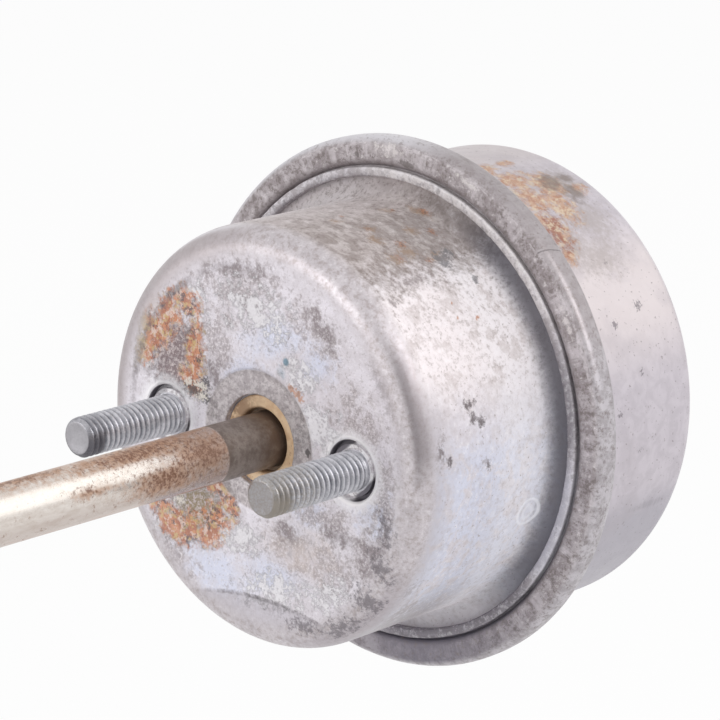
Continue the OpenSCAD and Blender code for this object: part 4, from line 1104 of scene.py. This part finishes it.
def diaphragm():
    """The rubber diaphragm with its rolled fold."""
    clamp_back = FLANGE_BACK + RUBBER
    flange_end = BEAD_R - SHEET - 0.6
    corner_x = PISTON_LEG_R - PISTON_CORNER
    corner_d = HEAD_BACK - PISTON_CORNER
    fold_x = PISTON_LEG_R + RUBBER + FOLD_R
    outer_x = fold_x + FOLD_R
    edge_x = outer_x + RUBBER + EDGE_BEND
    edge_d = FLANGE_BACK - EDGE_BEND
    profile = (
        line((ROD_INNER_R, HEAD_BACK + RUBBER), (ROD_INNER_R, HEAD_BACK), 1)
        + line((ROD_INNER_R, HEAD_BACK), (corner_x, HEAD_BACK), 6)
        + arc(corner_x, corner_d, PISTON_CORNER, -90, 0, 8)
        + line((PISTON_LEG_R, corner_d - 0.5), (PISTON_LEG_R, FOLD_DEPTH), 8)
        + arc(fold_x, FOLD_DEPTH, FOLD_R + RUBBER, 180, 0, 16)
        + line((outer_x + RUBBER, FOLD_DEPTH + 0.2), (outer_x + RUBBER, edge_d), 2)
        + arc(edge_x, edge_d, EDGE_BEND, 180, 270, 4)
        + [(flange_end, FLANGE_BACK), (flange_end, clamp_back)]
        + arc(edge_x, edge_d, EDGE_BEND + RUBBER, 270, 180, 5)
        + arc(fold_x, FOLD_DEPTH, FOLD_R, 0, 180, 12)
        + line((PISTON_LEG_R + RUBBER, FOLD_DEPTH + 0.2), (PISTON_LEG_R + RUBBER, corner_d), 8)
        + arc(corner_x, corner_d, PISTON_CORNER + RUBBER, 0, -90, 8)
    )
    piece = revolve("diaphragm_rubber", profile, 128)
    dress(piece, "diaphragm_rubber", "housing", "diaphragm")
    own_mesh(piece)


def rod_end():
    """Eye end of the rod: a shank that blends into a rounded eye."""
    rim = 0.8
    shank_bevel = 0.8
    half = EYE_W / 2
    steps = 72
    ring = [(EYE_BORE_R, rim - half), (EYE_BORE_R + rim * 0.4, -half), (EYE_R - rim, -half), (EYE_R - rim * 0.3, rim * 0.3 - half),
            (EYE_R, rim - half), (EYE_R, half - rim), (EYE_R - rim * 0.3, half - rim * 0.3), (EYE_R - rim, half),
            (EYE_BORE_R + rim * 0.4, half), (EYE_BORE_R, half - rim)]
    verts, faces = [], []
    n = len(ring)
    for s in range(steps):
        a = 2 * math.pi * s / steps
        for r, x in ring:
            verts.append((x, -EYE_CENTRE + r * math.cos(a), r * math.sin(a)))
    for s in range(steps):
        t = (s + 1) % steps
        for i in range(n):
            j = (i + 1) % n
            faces.append((s * n + i, s * n + j, t * n + j, t * n + i))
    eye = finish_mesh("rod_end_eye", verts, faces, 35)
    shank_profile = [
        (0, -SHANK_START), (SHANK_R - shank_bevel, -SHANK_START), (SHANK_R, -SHANK_START - shank_bevel),
        (SHANK_R, 4 - SHANK_END), (SHANK_R * 0.9, 1.5 - SHANK_END), (SHANK_R * 0.6, -SHANK_END), (0, -SHANK_END),
    ]
    shank = solid_of_revolution("rod_end_shank", shank_profile, 72)
    mod = eye.modifiers.new("join", "BOOLEAN")
    mod.operation = "UNION"
    mod.solver = "EXACT"
    mod.object = shank
    apply_modifiers(eye)
    bpy.data.objects.remove(shank)
    bore = [(0, 1 - SHANK_START), (ROD_THREAD_R + 0.02, 1 - SHANK_START), (ROD_THREAD_R + 0.02, -SHANK_BORE_END), (0, -SHANK_BORE_END)]
    cut(eye, solid_of_revolution("thread_bore", bore, 72))
    smooth(eye, 35)
    flat_shading(eye)
    dress(eye, "rod_end_steel", "plunger", "rod_end")


front_can()
rear_can()
stud(-1, "stud_left_thread", "stud_left")
stud(1, "stud_right_thread", "stud_right")
rod()
bush()
return_spring()
diaphragm()
rod_end()

SHOWN_AS_CAD = {
    "hose_nipple": "nipple_steel", "braze_ring": "braze", "bush_housing": "plate_steel",
    "rod_wiper": "wiper_felt", "spring_seat": "plate_steel", "piston": "plate_steel", "retainer_plate": "plate_steel",
    "rod_seal": "seal_rubber", "rod_washer": "hardware_zinc", "rod_nut": "hardware_zinc", "lock_nut": "hardware_zinc",
}
for node, paint in SHOWN_AS_CAD.items():
    dress(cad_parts[node], paint, None)
dress(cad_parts["stud_plate"], "plate_steel", None, paint=stud_plate_paint())


# Studio

def seen_rays(nodes, links):
    """1 for rays from the camera, from gloss and through glass, and 0 for the rest."""
    path = nodes.new("ShaderNodeLightPath")
    last = path.outputs["Is Camera Ray"]
    for ray in ("Is Glossy Ray", "Is Transmission Ray"):
        node = nodes.new("ShaderNodeMath")
        node.operation = "MAXIMUM"
        links.new(last, node.inputs[0])
        links.new(path.outputs[ray], node.inputs[1])
        last = node.outputs[0]
    return last


def emission_floor():
    """White where it is seen, with a share of its real shading, so that the object's shadow stays."""
    shadow_share = 0.07
    mat = bpy.data.materials.new("floor_white")
    mat.use_nodes = True
    nodes, links = mat.node_tree.nodes, mat.node_tree.links
    nodes.clear()
    out = nodes.new("ShaderNodeOutputMaterial")
    plain = nodes.new("ShaderNodeBsdfDiffuse")
    plain.inputs["Color"].default_value = (0.9, 0.9, 0.9, 1)
    glow = nodes.new("ShaderNodeEmission")
    lit = nodes.new("ShaderNodeMixShader")
    lit.inputs[0].default_value = shadow_share
    links.new(glow.outputs[0], lit.inputs[1])
    links.new(plain.outputs[0], lit.inputs[2])
    pick = nodes.new("ShaderNodeMixShader")
    links.new(seen_rays(nodes, links), pick.inputs[0])
    links.new(plain.outputs[0], pick.inputs[1])
    links.new(lit.outputs[0], pick.inputs[2])
    links.new(pick.outputs[0], out.inputs["Surface"])
    return mat


FLOOR_Z = -120
FLOOR_HALF = 9000
floor = finish_mesh("floor", [
    (-FLOOR_HALF, -FLOOR_HALF, FLOOR_Z), (FLOOR_HALF, -FLOOR_HALF, FLOOR_Z),
    (FLOOR_HALF, FLOOR_HALF, FLOOR_Z), (-FLOOR_HALF, FLOOR_HALF, FLOOR_Z),
], [(0, 1, 2, 3)])
floor.data.materials.append(emission_floor())


def world_light(ambient):
    world = bpy.data.worlds.new("studio")
    bpy.context.scene.world = world
    world.use_nodes = True
    nodes, links = world.node_tree.nodes, world.node_tree.links
    back = nodes["Background"]
    span = nodes.new("ShaderNodeMapRange")
    links.new(seen_rays(nodes, links), span.inputs["Value"])
    span.inputs["To Min"].default_value = ambient
    span.inputs["To Max"].default_value = 1.0
    links.new(span.outputs[0], back.inputs["Strength"])
    back.inputs["Color"].default_value = (1, 1, 1, 1)


world_light(0.62)


def aim(obj, direction, distance):
    """Puts a lamp or card in a direction from the cans, facing them."""
    toward = Vector(direction).normalized()
    obj.location = Vector((0, 0.02, 0)) + toward * distance
    obj.rotation_mode = "QUATERNION"
    obj.rotation_quaternion = (-toward).to_track_quat("-Z", "Y")


def softbox(name, direction, distance, size, watts):
    data = bpy.data.lights.new(name, "AREA")
    data.shape = "SQUARE"
    data.size = size
    data.energy = watts
    lamp = bpy.data.objects.new(name, data)
    bpy.context.scene.collection.objects.link(lamp)
    aim(lamp, direction, distance)
    lamp.visible_camera = False


def dark_card(name, direction, distance, width, height):
    """A black card that only reflections see, as a studio uses to give bright metal an edge."""
    card = finish_mesh(name, [
        (-width / 2, -height / 2, 0), (width / 2, -height / 2, 0), (width / 2, height / 2, 0), (-width / 2, height / 2, 0),
    ], [(0, 1, 2, 3)])
    mat = bpy.data.materials.new(name)
    mat.use_nodes = True
    mat.node_tree.nodes["Principled BSDF"].inputs["Base Color"].default_value = (0.03, 0.03, 0.03, 1)
    mat.node_tree.nodes["Principled BSDF"].inputs["Roughness"].default_value = 0.9
    card.data.materials.append(mat)
    aim(card, direction, distance)
    card.visible_camera = False
    card.visible_diffuse = False
    card.visible_shadow = False


softbox("lamp_front", (-0.36, -0.89, 0.27), 1.1, 0.5, 2.0)
softbox("lamp_left", (-0.8, -0.6, 0.05), 1.1, 0.5, 0.8)
softbox("lamp_right", (0.8, -0.12, 0.58), 1.2, 0.6, 5.6)
softbox("lamp_back", (0.45, 0.72, 0.53), 1.1, 0.9, 1.0)
dark_card("card_front", (0.62, -0.70, -0.1), 0.5, 170, 420)

# Camera

AZIMUTH = math.radians(41.975)
ELEVATION = math.radians(13.955)
camera_data = bpy.data.cameras.new("camera")
camera_data.sensor_width = 36
camera_data.lens = 160.5
camera_data.clip_start = 0.02
camera_data.clip_end = 50
camera = bpy.data.objects.new("camera", camera_data)
bpy.context.scene.collection.objects.link(camera)
camera.location = (0.30513, -0.31732, 0.1213)
back = Vector((math.sin(AZIMUTH) * math.cos(ELEVATION), -math.cos(AZIMUTH) * math.cos(ELEVATION), math.sin(ELEVATION)))
camera.rotation_mode = "QUATERNION"
camera.rotation_quaternion = (-back).to_track_quat("-Z", "Y")
bpy.context.scene.camera = camera
bpy.context.scene.view_settings.view_transform = "Standard"
